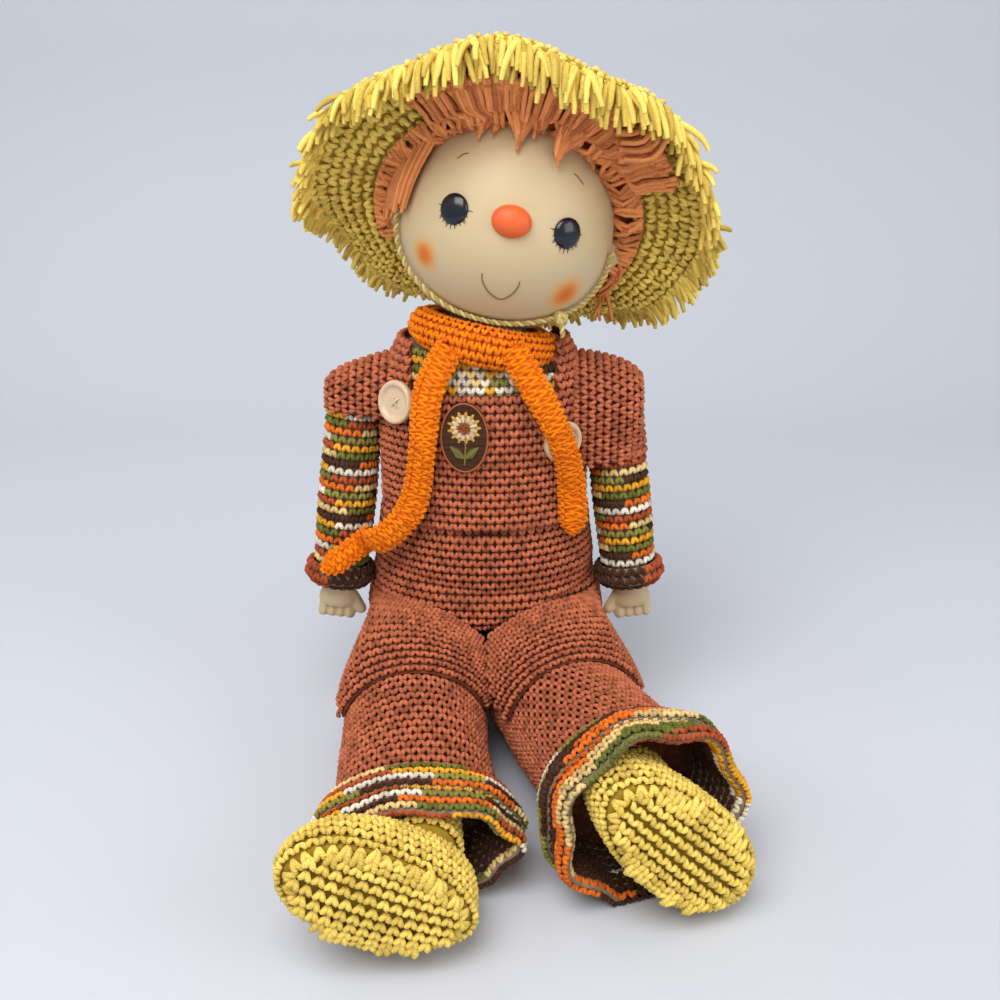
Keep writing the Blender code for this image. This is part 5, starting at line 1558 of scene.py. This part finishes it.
crown_under = lining_mesh("crown_under", crown_form(CROWN_LINING_SINK), 56, 24, caps=("last",))
crown_rows = lay_rows(crown_form(CROWN_STITCH_SINK), HAT_PITCH, HAT_PITCH)
stuffed("hat_crown_worked", crown_rows, STRAW_YARN, crown_under, "head", ("hat_crown",),
        CROWN_LOOSENESS)
brim_mesh = thick_sheet("hat_brim_cloth", brim_middle, 112, 14, BRIM_CLOTH, 1, closed=True)
brim_rows = lay_rows(brim_form(BRIM_HALF), HAT_PITCH, HAT_PITCH, plump=0.9)
thin_cloth("hat_brim_cloth", brim_mesh, brim_rows, STRAW_YARN, "head", "straw_yarn", ("hat_brim",),
           BRIM_LOOSENESS, flat=BRIM_FLAT, held="gathered", rests_on=["hat_crown_worked"])

# %% Fringe of cut yarn round the brim
FRINGE_STRANDS = 640
FRINGE_LENGTH = 0.0118
FRINGE_RADIUS = 0.00140
FRINGE_BAND = 0.0035
FRINGE_INSET = 0.003
FRINGE_DROP = 0.0010
FRINGE_STEPS = 6
DOWN = np.array((0, 0, -1.0))


def hanging(start, way, length, droop):
    """A yarn end that leaves along a way and bends down under its own weight."""
    points = [np.array(start, float)]
    heading = np.array(way, float)
    for _ in range(FRINGE_STEPS - 1):
        heading = unit(heading + DOWN * droop / FRINGE_STEPS + RANDOM.normal(0, 0.10, 3))
        points.append(points[-1] + heading * length / (FRINGE_STEPS - 1))
    return np.array(points)


def fringe_lines():
    """Cut ends that stand out round the brim. They hang at the front and are short at the low back."""
    angles = TURN * (np.arange(FRINGE_STRANDS) + RANDOM.random(FRINGE_STRANDS)) / FRINGE_STRANDS
    roots = BRIM_RADIUS - FRINGE_BAND * RANDOM.random(FRINGE_STRANDS)
    inner = in_frame(HAT_FRAME, brim_point(angles, roots - FRINGE_INSET))
    edge = in_frame(HAT_FRAME, brim_point(angles, roots))
    under = -np.array(HAT_FRAME.to_3x3())[:, 2]
    lines = []
    for index in range(FRINGE_STRANDS):
        out = unit(edge[index] - inner[index])
        front = np.clip(1.25 * math.sin(angles[index]) - 0.25, 0, 1)
        low = np.clip(-math.sin(angles[index]), 0, 1)
        lean = RANDOM.normal(0, 0.30, 3)
        drop = under * (0.15 + 0.5 * RANDOM.random())
        start = edge[index] + under * FRINGE_DROP
        length = FRINGE_LENGTH * (0.65 + 0.5 * RANDOM.random()) * (1 + 0.35 * front - 0.35 * low)
        hang = DOWN * front * RANDOM.random()
        way = unit(out * (1 - 0.75 * front) + drop * (1 + 0.4 * front) + hang + lean)
        lines.append(hanging(start, way, length, 1.0 + 0.8 * RANDOM.random() + front))
    return lines


fringe = yarn_lines("hat_fringe_strands", fringe_lines(), FRINGE_RADIUS, STRAW_YARN)
piece("hat_fringe_strands", fringe, "head", ("hat_fringe",))

# %% Hair: a cap under the hat, then bangs, side hair and one loop
HAIR_RADIUS = 0.00115
CAP_RADIUS = 0.0550
RIM_REACH = 0.0560
BANG_REACH = 0.0780
TUCK_DROP = 0.0060
TUCK_SLOPE = 1.4
LOCKS = 12
LOCK_LAYERS = 3
LOCK_ROW = 5
RIGHT_LAYERS = 2
RIGHT_ROW = 23
LEFT_LAYERS = 3
LEFT_ROW = 18
LOOP_HAIRS = 36
RIM_HAIRS = 150
LOOP_ROOT = np.array((0.0240, -0.0545, 0.0500))
# The loop's way from its root: over, out, back and in again
LOOP_WAY = np.array([(0, 0, 0), (0.0130, -0.0010, 0.0020), (0.0235, 0.0020, -0.0040),
                     (0.0215, 0.0030, -0.0135), (0.0120, 0.0050, -0.0160)])
TIP_COS = math.cos(math.radians(HAT_TIP_BACK))
TIP_SIN = math.sin(math.radians(HAT_TIP_BACK))


def under_hat(x, ahead, drop):
    """Points of the head's own frame from a place on the hat's root plane and a drop below it."""
    return np.stack([x, ahead * TIP_COS - drop * TIP_SIN, -ahead * TIP_SIN - drop * TIP_COS], axis=-1)


def rim_point(angle, reach=RIM_REACH, drop=0.0):
    """A point near the hat's root. Angle 90 is the middle of the front."""
    turn = np.radians(angle)
    return under_hat(reach * np.cos(turn), -reach * np.sin(turn), drop)


def cap_form(u, v):
    arc = np.linspace(0, math.pi / 2 * 0.99, 16)
    dome = np.stack([CAP_RADIUS * np.cos(arc), CAP_RADIUS * np.sin(arc)], axis=-1)
    radius, height = at_share(np.concatenate([[(0.020, -0.002), (CAP_RADIUS - 0.003, -0.0015)], dome]), v)
    return ring_at(HAT_FRAME, TURN * u, radius, height)


def strand(points, count=9):
    return in_frame(HEAD_FRAME, smooth_through(points, count))


def tucked(points):
    """Keep hair under the hat: inside the crown's dome above the brim, and freer below it."""
    ahead = points[:, 1] * TIP_COS - points[:, 2] * TIP_SIN
    drop = -points[:, 1] * TIP_SIN - points[:, 2] * TIP_COS
    inside = CAP_RADIUS - HAIR_RADIUS
    dome = np.sqrt(np.maximum(inside**2 - np.minimum(drop, 0) ** 2, HAIR_RADIUS**2))
    limit = dome + TUCK_SLOPE * np.maximum(drop - TUCK_DROP, 0)
    share = np.minimum(limit / np.hypot(points[:, 0], ahead), 1)
    return under_hat(points[:, 0] * share, ahead * share, drop)


def bang_lines():
    """Pointed locks on the forehead. Each lock gathers its strands towards its tip."""
    lines = []
    for lock in range(LOCKS):
        middle = -36 + 86 * lock / (LOCKS - 1)
        tip_height = 0.0275 + 0.0065 * math.cos(2.2 * lock) - 0.002 * (lock in (7, 8))
        for index in range(LOCK_LAYERS * LOCK_ROW):
            side = (index % LOCK_ROW - 2) / 2
            layer = index // LOCK_ROW
            turn = middle + 5.0 * side + RANDOM.normal(0, 0.8)
            root = rim_point(90 - 1.02 * turn, BANG_REACH - 0.003 * layer, 0.0125)
            under = rim_point(90 - 1.02 * turn, RIM_REACH + 0.008, 0.0100 - 0.0015 * layer)
            over = rim_point(90 - turn, RIM_REACH + 0.0015, 0.0078 - 0.001 * layer)
            low = on_head(middle + 2.6 * side, tip_height + 0.006, 0.0034 + 0.0012 * layer)
            length = 0.0035 * abs(side) + 0.002 * RANDOM.random()
            tip = on_head(middle + 1.2 * side, tip_height + length, 0.0022 + 0.001 * RANDOM.random())
            lines.append(strand([root, under, over, low, tip], 12))
    return lines


def side_lines():
    """Straight hair on the right of the head, and loose hair behind the left cheek."""
    lines = []
    for index in range(RIGHT_LAYERS * RIGHT_ROW):
        share = (index % RIGHT_ROW) / (RIGHT_ROW - 1)
        layer = index // RIGHT_ROW
        turn = -50 - 46 * share + RANDOM.normal(0, 0.8)
        lift = 0.0030 + 0.0022 * layer + 0.003 * share
        root = rim_point(90 - 0.86 * turn, RIM_REACH - 0.004 * layer)
        high = on_head(turn - 3, 0.026 - 0.016 * share, lift + 0.003)
        low = on_head(turn - 9 - 5 * share, 0.006 - 0.012 * share, lift)
        end = on_head(turn - 12 - 8 * share, -0.006 - 0.014 * share - 0.004 * RANDOM.random(), lift * 0.8)
        lines.append(strand([root, high, low, end]))
    for index in range(LEFT_LAYERS * LEFT_ROW):
        share = (index % LEFT_ROW) / (LEFT_ROW - 1)
        layer = index // LEFT_ROW
        turn = 96 + 32 * share + RANDOM.normal(0, 2.0)
        lift = 0.0040 + 0.0030 * layer + 0.003 * share
        root = rim_point(90 - 0.90 * turn, RIM_REACH - 0.003 * layer)
        curl = RANDOM.normal(0, 0.0024, (2, 3))
        high = on_head(turn + 3, 0.018 - 0.012 * share, lift + 0.004)
        low = on_head(turn + 10 * share, -0.006 - 0.006 * share, lift + 0.004 * RANDOM.random()) + curl[0]
        back = on_head(turn - 6 + 20 * RANDOM.random(), -0.015, lift + 0.006 * RANDOM.random()) + curl[1]
        drop = 0.022 + 0.012 * RANDOM.random()
        end = on_head(turn + 4 + 12 * share, -drop, lift + 0.010 * RANDOM.random())
        lines.append(in_frame(HEAD_FRAME, tucked(smooth_through([root, high, low, back, end], 13))))
    return lines


def loop_lines():
    """One lock at the left temple that turns out and back on itself."""
    lines = []
    for index in range(LOOP_HAIRS):
        side = index % 6 - 2.5
        layer = index // 6 - 2.5
        shift = np.array((0.0004 * layer, -0.0012 * layer, 0.0012 * side)) + RANDOM.normal(0, 0.0004, 3)
        lines.append(strand(LOOP_ROOT + LOOP_WAY * (0.82 - 0.13 * side) + shift, 13))
    return lines


def rim_lines():
    """Short hair that fills the gap between the head and the front of the hat."""
    lines = []
    for index in range(RIM_HAIRS):
        angle = -25 + 230 * (index + RANDOM.random()) / RIM_HAIRS
        root = rim_point(angle, RIM_REACH + 0.003, 0.0055)
        middle = rim_point(angle + RANDOM.normal(0, 3), RIM_REACH - 0.004, 0.0055 + 0.003 * RANDOM.random())
        end = rim_point(angle + RANDOM.normal(0, 6), RIM_REACH - 0.011, 0.003 * RANDOM.random())
        lines.append(strand([root, middle, end], 5))
    return lines


hair_cap = lining_mesh("hair_cap_yarn", cap_form, 48, 24, caps=BOTH_ENDS)
# The cap has no tone, so the hair yarn paints it in its dark colour: painted shade under the strands and the
# hat
piece("hair_cap_yarn", hair_cap, "head", ("hair_cap",), HAIR_YARN)
bangs = yarn_lines("hair_bangs", bang_lines(), HAIR_RADIUS, HAIR_YARN)
piece("hair_bangs", bangs, "head", tuple(f"hair_fringe_{number}" for number in range(1, 8)))
side_hair = yarn_lines("hair_sides", side_lines(), HAIR_RADIUS, HAIR_YARN)
piece("hair_sides", side_hair, "head", ("hair_side_left", "hair_side_right"))
loops = yarn_lines("hair_loop_and_rim", loop_lines() + rim_lines(), HAIR_RADIUS, HAIR_YARN, taper=0.1)
piece("hair_loop_and_rim", loops, "head")

# %% [markdown]
# ## Shoulder covers
# The brown of the overalls runs on over each shoulder and covers the place where the arm is sewn on.
# On the left it also covers the top of the arm. This cloth crosses the shoulder joint, and it rides on
# neither the torso nor the arm.

# %% Shoulder covers
# Each point: distance out from the middle of the doll and radius round the shoulder's axis
COVER_LINE = {
    "left": [(0.0400, 0.0222), (0.0480, 0.0215), (0.0560, 0.0200), (0.0640, 0.0176), (0.0700, 0.0140),
             (0.0728, 0.0105)],
    "right": [(0.0400, 0.0222), (0.0480, 0.0205), (0.0560, 0.0180), (0.0640, 0.0152), (0.0700, 0.0116),
              (0.0728, 0.0080)],
}
COVER_FRONT = {"left": 0.0270, "right": 0.0040}
COVER_BACK = 0.0120
COVER_WIDTH = 0.0370
COVER_BEND = 0.0185
COVER_BLEND_X = (0.0450, 0.0620)
COVER_STITCH_SINK = 0.0014
COVER_LINING_SINK = 0.0020


def cover_form(side, sign, sink):
    line = smooth_through(COVER_LINE[side], 24)
    front = COVER_FRONT[side]

    def form(u, v):
        across, radius = at_share(line, v)
        radius = radius - sink
        bend = math.pi * radius
        at = u * (front + bend + COVER_BACK) - front
        turn = np.clip(at / radius, 0, math.pi)
        below = np.minimum(at, 0) - np.maximum(at - bend, 0)
        y = SHOULDER[1] - radius * np.cos(turn)
        z = SHOULDER[2] + radius * np.sin(turn) - np.abs(below)
        return np.stack([np.full_like(y, sign * across), y, z], axis=-1)

    return form


def make_cover(side, sign):
    name = f"shoulder_cover_{side}"
    sheet = thick_sheet(name, cover_form(side, sign, COVER_LINING_SINK), 36, 16, SHEET_WALL, -sign)
    rows = lay_rows(cover_form(side, sign, COVER_STITCH_SINK), STITCH_PITCH, ROW_PITCH, -sign)
    start, end = (mirrored((x, *SHOULDER[1:]), sign) for x in COVER_BLEND_X)
    length = COVER_FRONT[side] + COVER_BACK + math.pi * COVER_BEND
    thin_cloth(name, sheet, rows, BROWN_YARN, None, "brown_yarn", blend=("torso", f"{side}_arm", start, end),
               flat=(COVER_WIDTH, length), held="draped",
               rests_on=[f"sleeve_{side}_worked", f"strap_over_{side}"])


for cover in SIDES:
    make_cover(*cover)

# %% [markdown]
# ## Scarf
# The scarf is a narrow orange band. One turn goes round the neck, and its two ends lie on the chest.
# The right end runs out over the arm, and it rides on no body.

# %% The turn round the neck
WRAP_RADIUS = 0.0272
WRAP_WIDE = 0.0072
WRAP_TALL = 0.0074
WRAP_MIDDLE = -0.0560
WRAP_DROOP = 0.0035
WRAP_FOLD = 0.0007
WRAP_STITCH_SINK = 0.0011
WRAP_LINING_SINK = 0.0016
# Where the rows start round the scarf's own middle and how far round they go, in degrees
WRAP_START = -165
WRAP_SPAN = 325
SCARF_PITCH = 0.0034
SCARF_LOOSENESS = 0.25


def wrap_form(sink):
    def form(u, v):
        turn = TURN * u
        swing = math.radians(WRAP_START + WRAP_SPAN * v)
        fold = WRAP_FOLD * np.sin(5 * turn + 1.3) * math.cos(swing)
        radius = WRAP_RADIUS + (WRAP_WIDE - sink) * math.cos(swing) + fold
        low = WRAP_DROOP * np.clip(np.cos(turn), 0, 1) * max(0, -math.sin(swing))
        height = WRAP_MIDDLE + (WRAP_TALL - sink) * math.sin(swing) - low
        return ring_at(HEAD_FRAME, turn - math.pi / 2, radius, height)

    return form


wrap_under = lining_mesh("scarf_wrap_under", wrap_form(WRAP_LINING_SINK), 56, 24)
wrap_rows = lay_rows(wrap_form(WRAP_STITCH_SINK), SCARF_PITCH, SCARF_PITCH, plump=0.9)
stuffed("scarf_wrap_worked", wrap_rows, ORANGE_YARN, wrap_under, "torso", ("scarf_wrap",),
        SCARF_LOOSENESS)

# %% The two ends on the chest
SCARF_HALF = 0.0072
SCARF_THICK = 0.0027
SCARF_RINGS = 61
SCARF_SIDES = 16
TAIL_STITCH_SINK = 0.0009
TAIL_LINING_SINK = 0.0014
# Each point: place across, height and lift off the chest
SCARF_ROUTES = {
    "right": [(-0.0140, 0.1985, 0.0040), (-0.0235, 0.1800, 0.0040), (-0.0268, 0.1540, 0.0036),
              (-0.0330, 0.1240, 0.0042), (-0.0520, 0.1045, 0.0150), (-0.0745, 0.0935, 0.0340)],
    "left": [(0.0120, 0.1985, 0.0040), (0.0245, 0.1780, 0.0050), (0.0352, 0.1560, 0.0062),
             (0.0400, 0.1330, 0.0042), (0.0413, 0.1085, 0.0020)],
}
# Two places on the right end: before the first it lies on the torso, past the second over the arm. It rides
# on no body
SCARF_BLEND = ("torso", "right_arm", (-0.0400, -0.03, 0.120), (-0.0640, -0.04, 0.100))


def tail_form(side, sink):
    x, z, lift = smooth_through(SCARF_ROUTES[side], 80).T
    path = np.stack([x, chest_y(x, z, BIB_OUT) - SCARF_THICK - lift, z], axis=-1)
    run = run_along(path)
    ahead = unit(np.gradient(path, axis=0))
    across = unit(np.cross(ahead, (0, -1, 0)))
    guides = (path, across, np.cross(across, ahead))

    def form(u, v):
        at = np.clip(u, 0, 1) * run[-1]
        spot, side_way, out_way = (np.stack([np.interp(at, run, column) for column in guide.T], axis=-1)
                                   for guide in guides)
        close = np.sqrt(np.clip((run[-1] - at) / SCARF_HALF, 0.02, 1))
        half = (SCARF_HALF * (1 + 0.05 * np.sin(at / 0.011)) - sink) * close
        thick = (SCARF_THICK - 0.6 * sink) * close
        half = half * math.cos(-TURN * v)
        thick = thick * math.sin(-TURN * v)
        return spot + side_way * half[:, None] + out_way * thick[:, None]

    return form, run[-1]


def make_tail(side):
    name = f"scarf_end_{side}"
    form, length = tail_form(side, TAIL_LINING_SINK)
    us = np.linspace(0, 1, SCARF_RINGS)
    rings = np.array([form(us, step / SCARF_SIDES) for step in range(SCARF_SIDES)]).transpose(1, 0, 2)
    form, _ = tail_form(side, TAIL_STITCH_SINK)
    rows = lay_rows(form, SCARF_PITCH, SCARF_PITCH, plump=0.8)
    arm = side == "right"
    thin_cloth(name, tube_mesh(name, [rings]), rows, ORANGE_YARN, None if arm else "torso", "orange_yarn",
               (f"scarf_tail_{side}",), SCARF_LOOSENESS, SCARF_BLEND if arm else None,
               flat=(2 * SCARF_HALF, length), held="draped", rests_on=["overalls_front_bib"])


for tail_side, _ in SIDES:
    make_tail(tail_side)

# %% [markdown]
# ## Chin tie
# A thin crocheted cord comes down from the hat on each side, follows the jaw and is knotted under the
# left cheek. Two yarns are wound round the cord's own line, and the free end hangs from the knot.

# %% Chin tie
TIE_DIAMETER = 0.0026
TIE_WINDING = 0.0050
TIE_LIFT = 0.0019
# Shares of the tie's thickness: how far out its two yarns are, and their radius
TIE_YARN_OUT = 0.24
TIE_YARN_SIZE = 0.27
KNOT_RADIUS = 0.0040
KNOT_YARN = 0.0009
KNOT_TURNS = 7
# Each point: turn in degrees from the face and height
KNOT_PLACE = (52.0, -0.0378)
TIE_RIGHT = [(-72, -0.0080), (-70, -0.0220), (-60, -0.0340), (-38, -0.0425), (-6, -0.0450), (26, -0.0435),
             KNOT_PLACE]
TIE_LEFT = [(70, -0.0080), (68, -0.0220), (61, -0.0320), KNOT_PLACE]
TIE_TAIL = [(0.0024, -0.0032, -0.0048), (0.0032, -0.0032, -0.0080)]


def tie_path(stations, tail=()):
    line = smooth_through(stations, 24 * len(stations))
    path = on_head(line[:, 0], line[:, 1], np.full(len(line), TIE_LIFT))
    if len(tail):
        loose = smooth_through([path[-1]] + [path[-1] + np.array(step) for step in tail], 40)
        path = np.concatenate([path, loose[1:]])
    return in_frame(HEAD_FRAME, path)


def make_tie(name, path, nodes):
    run = run_along(path)
    rings = swept(path, 1.0, 4)
    wind = TURN * run / TIE_WINDING
    yarns = []
    for start in (0, math.pi):
        swing = ((rings[:, 0] - path) * np.cos(wind + start)[:, None]
                 + (rings[:, 1] - path) * np.sin(wind + start)[:, None])
        yarns.append(path + swing * TIE_YARN_OUT * TIE_DIAMETER)
    mesh = yarn_lines(name, yarns, TIE_YARN_SIZE * TIE_DIAMETER, TIE_YARN, 7, 0.0)
    tie = piece(name, mesh, "head", nodes)


def knot_lines():
    """Yarn wound into a small knot."""
    middle = np.array(on_head(*KNOT_PLACE, KNOT_RADIUS * 0.7))
    turn = np.linspace(0, TURN, 15)
    ring = np.stack([np.cos(turn), np.sin(turn), 0.25 * np.sin(2 * turn)], axis=-1) * KNOT_RADIUS * 0.72
    lines = []
    for index in range(KNOT_TURNS):
        tilt = Euler((0.7 * index, 1.1 * index, 0.4 * index)).to_matrix()
        lines.append(in_frame(HEAD_FRAME, middle + ring @ np.array(tilt).T))
    return lines


knot_mesh = yarn_lines("tie_knot_wound", knot_lines(), KNOT_YARN, TIE_YARN, 6, 0.0)
tie_knot = piece("tie_knot_wound", knot_mesh, "head", ("hat_tie_knot",))
make_tie("chin_tie_right", tie_path(TIE_RIGHT, TIE_TAIL), ("hat_tie_right",))
make_tie("chin_tie_left", tie_path(TIE_LEFT), ("hat_tie_left",))

# %% [markdown]
# ## Buttons, patch and cords
# Two dished buttons close the straps. An oval patch on the bib is embroidered with one flower: the
# ground is filled with satin stitch, and petals, leaves and knots are laid on it as single threads. The
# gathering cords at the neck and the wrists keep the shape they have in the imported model.

# %% Buttons
BUTTON_PLACES = {"right": (-0.0382, 0.1710), "left": (0.0350, 0.1540)}
# Each point: radius and height of the button's turned outline
BUTTON_LINE = [(0.0, 0.0016), (0.0050, 0.0016), (0.0066, 0.0019), (0.0078, 0.0029), (0.0090, 0.0030),
               (0.0097, 0.0023), (0.0098, 0.0012), (0.0096, 0.0002)]
BUTTON_LEAST = 0.00005
BUTTON_STEPS = 40
BUTTON_COLOURS = ((0.66, 0.55, 0.33), (0.66, 0.42, 0.29))
HOLE_REACH = 0.0022
HOLE_DEPTH = 0.0014
SEWN_HEIGHT = 0.0024
SEWN_RADIUS = 0.0005
CHEST_STEP = 0.0006
THREAD_COLOURS = {
    "ground": (0.085, 0.036, 0.020),
    "gold": (0.72, 0.36, 0.060),
    "cream": (0.78, 0.66, 0.42),
    "leaf": (0.20, 0.19, 0.050),
    "rust": (0.38, 0.105, 0.035),
}


def on_chest(x, height):
    """A frame on the bib whose Z axis points out of the cloth."""
    def at(across, up):
        return Vector((x + across, float(chest_y(x + across, height + up, BIB_OUT)), height + up))

    here = at(0, 0)
    across = (at(CHEST_STEP, 0) - here).normalized()
    out = across.cross(at(0, CHEST_STEP) - here).normalized()
    turn = Matrix((across, out.cross(across), out)).transposed()
    return Matrix.Translation(here) @ turn.to_4x4()


def thread_material(name, colour):
    return yarn_material(name + "_thread", tuple(0.45 * part for part in colour), colour, 0.3)[0]


def button_material():
    made = gloss_material("cream_button", BUTTON_COLOURS[0], 0.35, 0.2)
    tree = made.node_tree
    cloudy = noise(tree, node(tree, "ShaderNodeTexCoord", out="Object"), 160.0, 3.0)
    feed(tree.nodes["Principled BSDF"], {"Base Color": mix_colour(tree, cloudy, *BUTTON_COLOURS)})
    return made


def make_button(side):
    matrix = on_chest(*BUTTON_PLACES[side])
    turns = TURN * np.arange(BUTTON_STEPS) / BUTTON_STEPS
    rings = [ring_at(matrix, turns, max(radius, BUTTON_LEAST), height)
             for radius, height in smooth_through(BUTTON_LINE, BUTTON_STEPS)]
    name = f"button_{side}_disc"
    piece(name, tube_mesh(name, [rings]), "torso", (f"button_{side}",), BUTTON_CREAM)
    threads = []
    for lean in (-1, 1):
        start = np.array((-HOLE_REACH, lean * HOLE_REACH, HOLE_DEPTH))
        path = smooth_through([start, (0, 0, SEWN_HEIGHT), -start * (1, 1, -1)], 9)
        threads.append(in_frame(matrix, path))
    name = f"button_{side}_thread"
    piece(name, yarn_lines(name, threads, SEWN_RADIUS, THREADS["cream"], 6, 0.0), "torso")


THREADS = {thread: thread_material(thread, colour) for thread, colour in THREAD_COLOURS.items()}
BUTTON_CREAM = button_material()
for button_side, _ in SIDES:
    make_button(button_side)

# %% Embroidered patch
PATCH_HALF = np.array((0.0105, 0.0160))
PATCH_PLACE = (-0.0080, 0.1590)
PATCH_STEPS = 48
# Share of the oval and height of each ring of the backing
PATCH_RINGS = [(1.0, -0.0004), (1.0, 0.0004), (0.5, 0.0006), (0.02, 0.0006)]
THREAD = 0.00042
THREAD_CROWN = 0.0004
GROUND_HEIGHT = 0.0009
FLOWER = np.array((0.0, 0.0048))
PETALS = TURN * np.arange(13) / 13
STEM = [(0.0, 0.001), (0.0006, -0.004), (0.0, -0.0125)]
KNOTS = 19
SEED_SPREAD = 0.0027
SEED_TURN = 2.4
SEED_SIZE = 0.0004


def flat_lines(paths, height):
    """Lines on the patch from paths in its own plane."""
    matrix = on_chest(*PATCH_PLACE)
    lines = []
    for path in paths:
        rise = height + THREAD_CROWN * np.sin(np.linspace(0, math.pi, len(path)))
        lines.append(in_frame(matrix, np.column_stack([path, rise])))
    return lines


def circle(count):
    turn = np.linspace(0, TURN, count)
    return np.stack([np.cos(turn), np.sin(turn)], axis=-1)


def ground_paths():
    """Satin stitch from side to side of the oval, each row a little wavy."""
    share = np.linspace(-1, 1, 7)
    rows = []
    for height in np.arange(0.0004 - PATCH_HALF[1], PATCH_HALF[1], 1.6 * THREAD):
        half = PATCH_HALF[0] * math.sqrt(1 - (height / PATCH_HALF[1]) ** 2)
        rows.append(np.stack([share * half, height + 0.0003 * np.sin(9 * share)], axis=-1))
    return rows


def petal_paths(start, end, turns, spread):
    paths = []
    for turn in turns:
        way = np.array((math.cos(turn), math.sin(turn)))
        for lean in (-1, 0, 1):
            aside = np.array((-way[1], way[0])) * spread * lean
            paths.append(FLOWER + np.array([way * start, way * (start + end) / 2 + aside, way * end]))
    return paths


def leaf_paths():
    paths = [STEM]
    for sign in (-1, 1):
        for lean in np.linspace(-1, 1, 5):
            middle = (sign * (0.0030 - 0.0006 * lean), -0.0072 + 0.0016 * lean)
            paths.append([(0.0003, -0.0095), middle, (sign * 0.0062, -0.0042)])
    return paths


def knot_paths():
    paths = []
    for index in range(KNOTS):
        reach = SEED_SPREAD * math.sqrt(index / KNOTS)
        turn = SEED_TURN * index
        middle = FLOWER + reach * np.array((math.cos(turn), math.sin(turn)))
        paths.append(middle + SEED_SIZE * circle(7))
    return paths


oval = PATCH_HALF * circle(PATCH_STEPS + 1)[:-1]
patch_rings = [np.column_stack([oval * share, np.full(PATCH_STEPS, height)])
               for share, height in PATCH_RINGS]
backing = tube_mesh("patch_backing", [in_frame(on_chest(*PATCH_PLACE), patch_rings)], smooth=False)
# The backing has no tone, so the ground thread paints it in its dark colour: painted shade under the satin
# stitch
piece("patch_backing", backing, "torso", ("bib_patch",), THREADS["ground"])
# Each layer: its thread, its paths and its height above the ground
PATCH_LAYERS = {
    "patch_ground": ("ground", ground_paths(), 0.0),
    "patch_edge": ("rust", [0.98 * PATCH_HALF * circle(60)], 0.0003),
    "patch_leaves": ("leaf", leaf_paths(), 0.0005),
    "patch_petals_under": ("gold", petal_paths(0.0024, 0.0074, PETALS, 0.0008), 0.0005),
    "patch_petals_over": ("cream", petal_paths(0.0024, 0.0058, PETALS + 0.24, 0.0006), 0.0009),
    "patch_knots": ("rust", knot_paths(), 0.0012),
}
for layer_name, (thread, layer_paths, above) in PATCH_LAYERS.items():
    layer_lines = flat_lines(layer_paths, GROUND_HEIGHT + above)
    layer_mesh = yarn_lines(layer_name, layer_lines, THREAD, THREADS[thread], 6, 0.0)
    piece(layer_name, layer_mesh, "torso")

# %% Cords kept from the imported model
CORD_NODES = ("neck_cord", "wrist_cord_left", "wrist_cord_right")
CORD_COLOUR = (0.30, 0.20, 0.10)
CORD_YARN = thread_material("gathering_cord", CORD_COLOUR)
for cord_name in CORD_NODES:
    cord_mesh = bpy.data.objects[cord_name].data
    cord_mesh.materials.clear()
    cord_mesh.materials.append(CORD_YARN)
print("cords:", ", ".join(CORD_NODES))

# %% Remove the single stitch
bpy.data.objects.remove(STITCH)
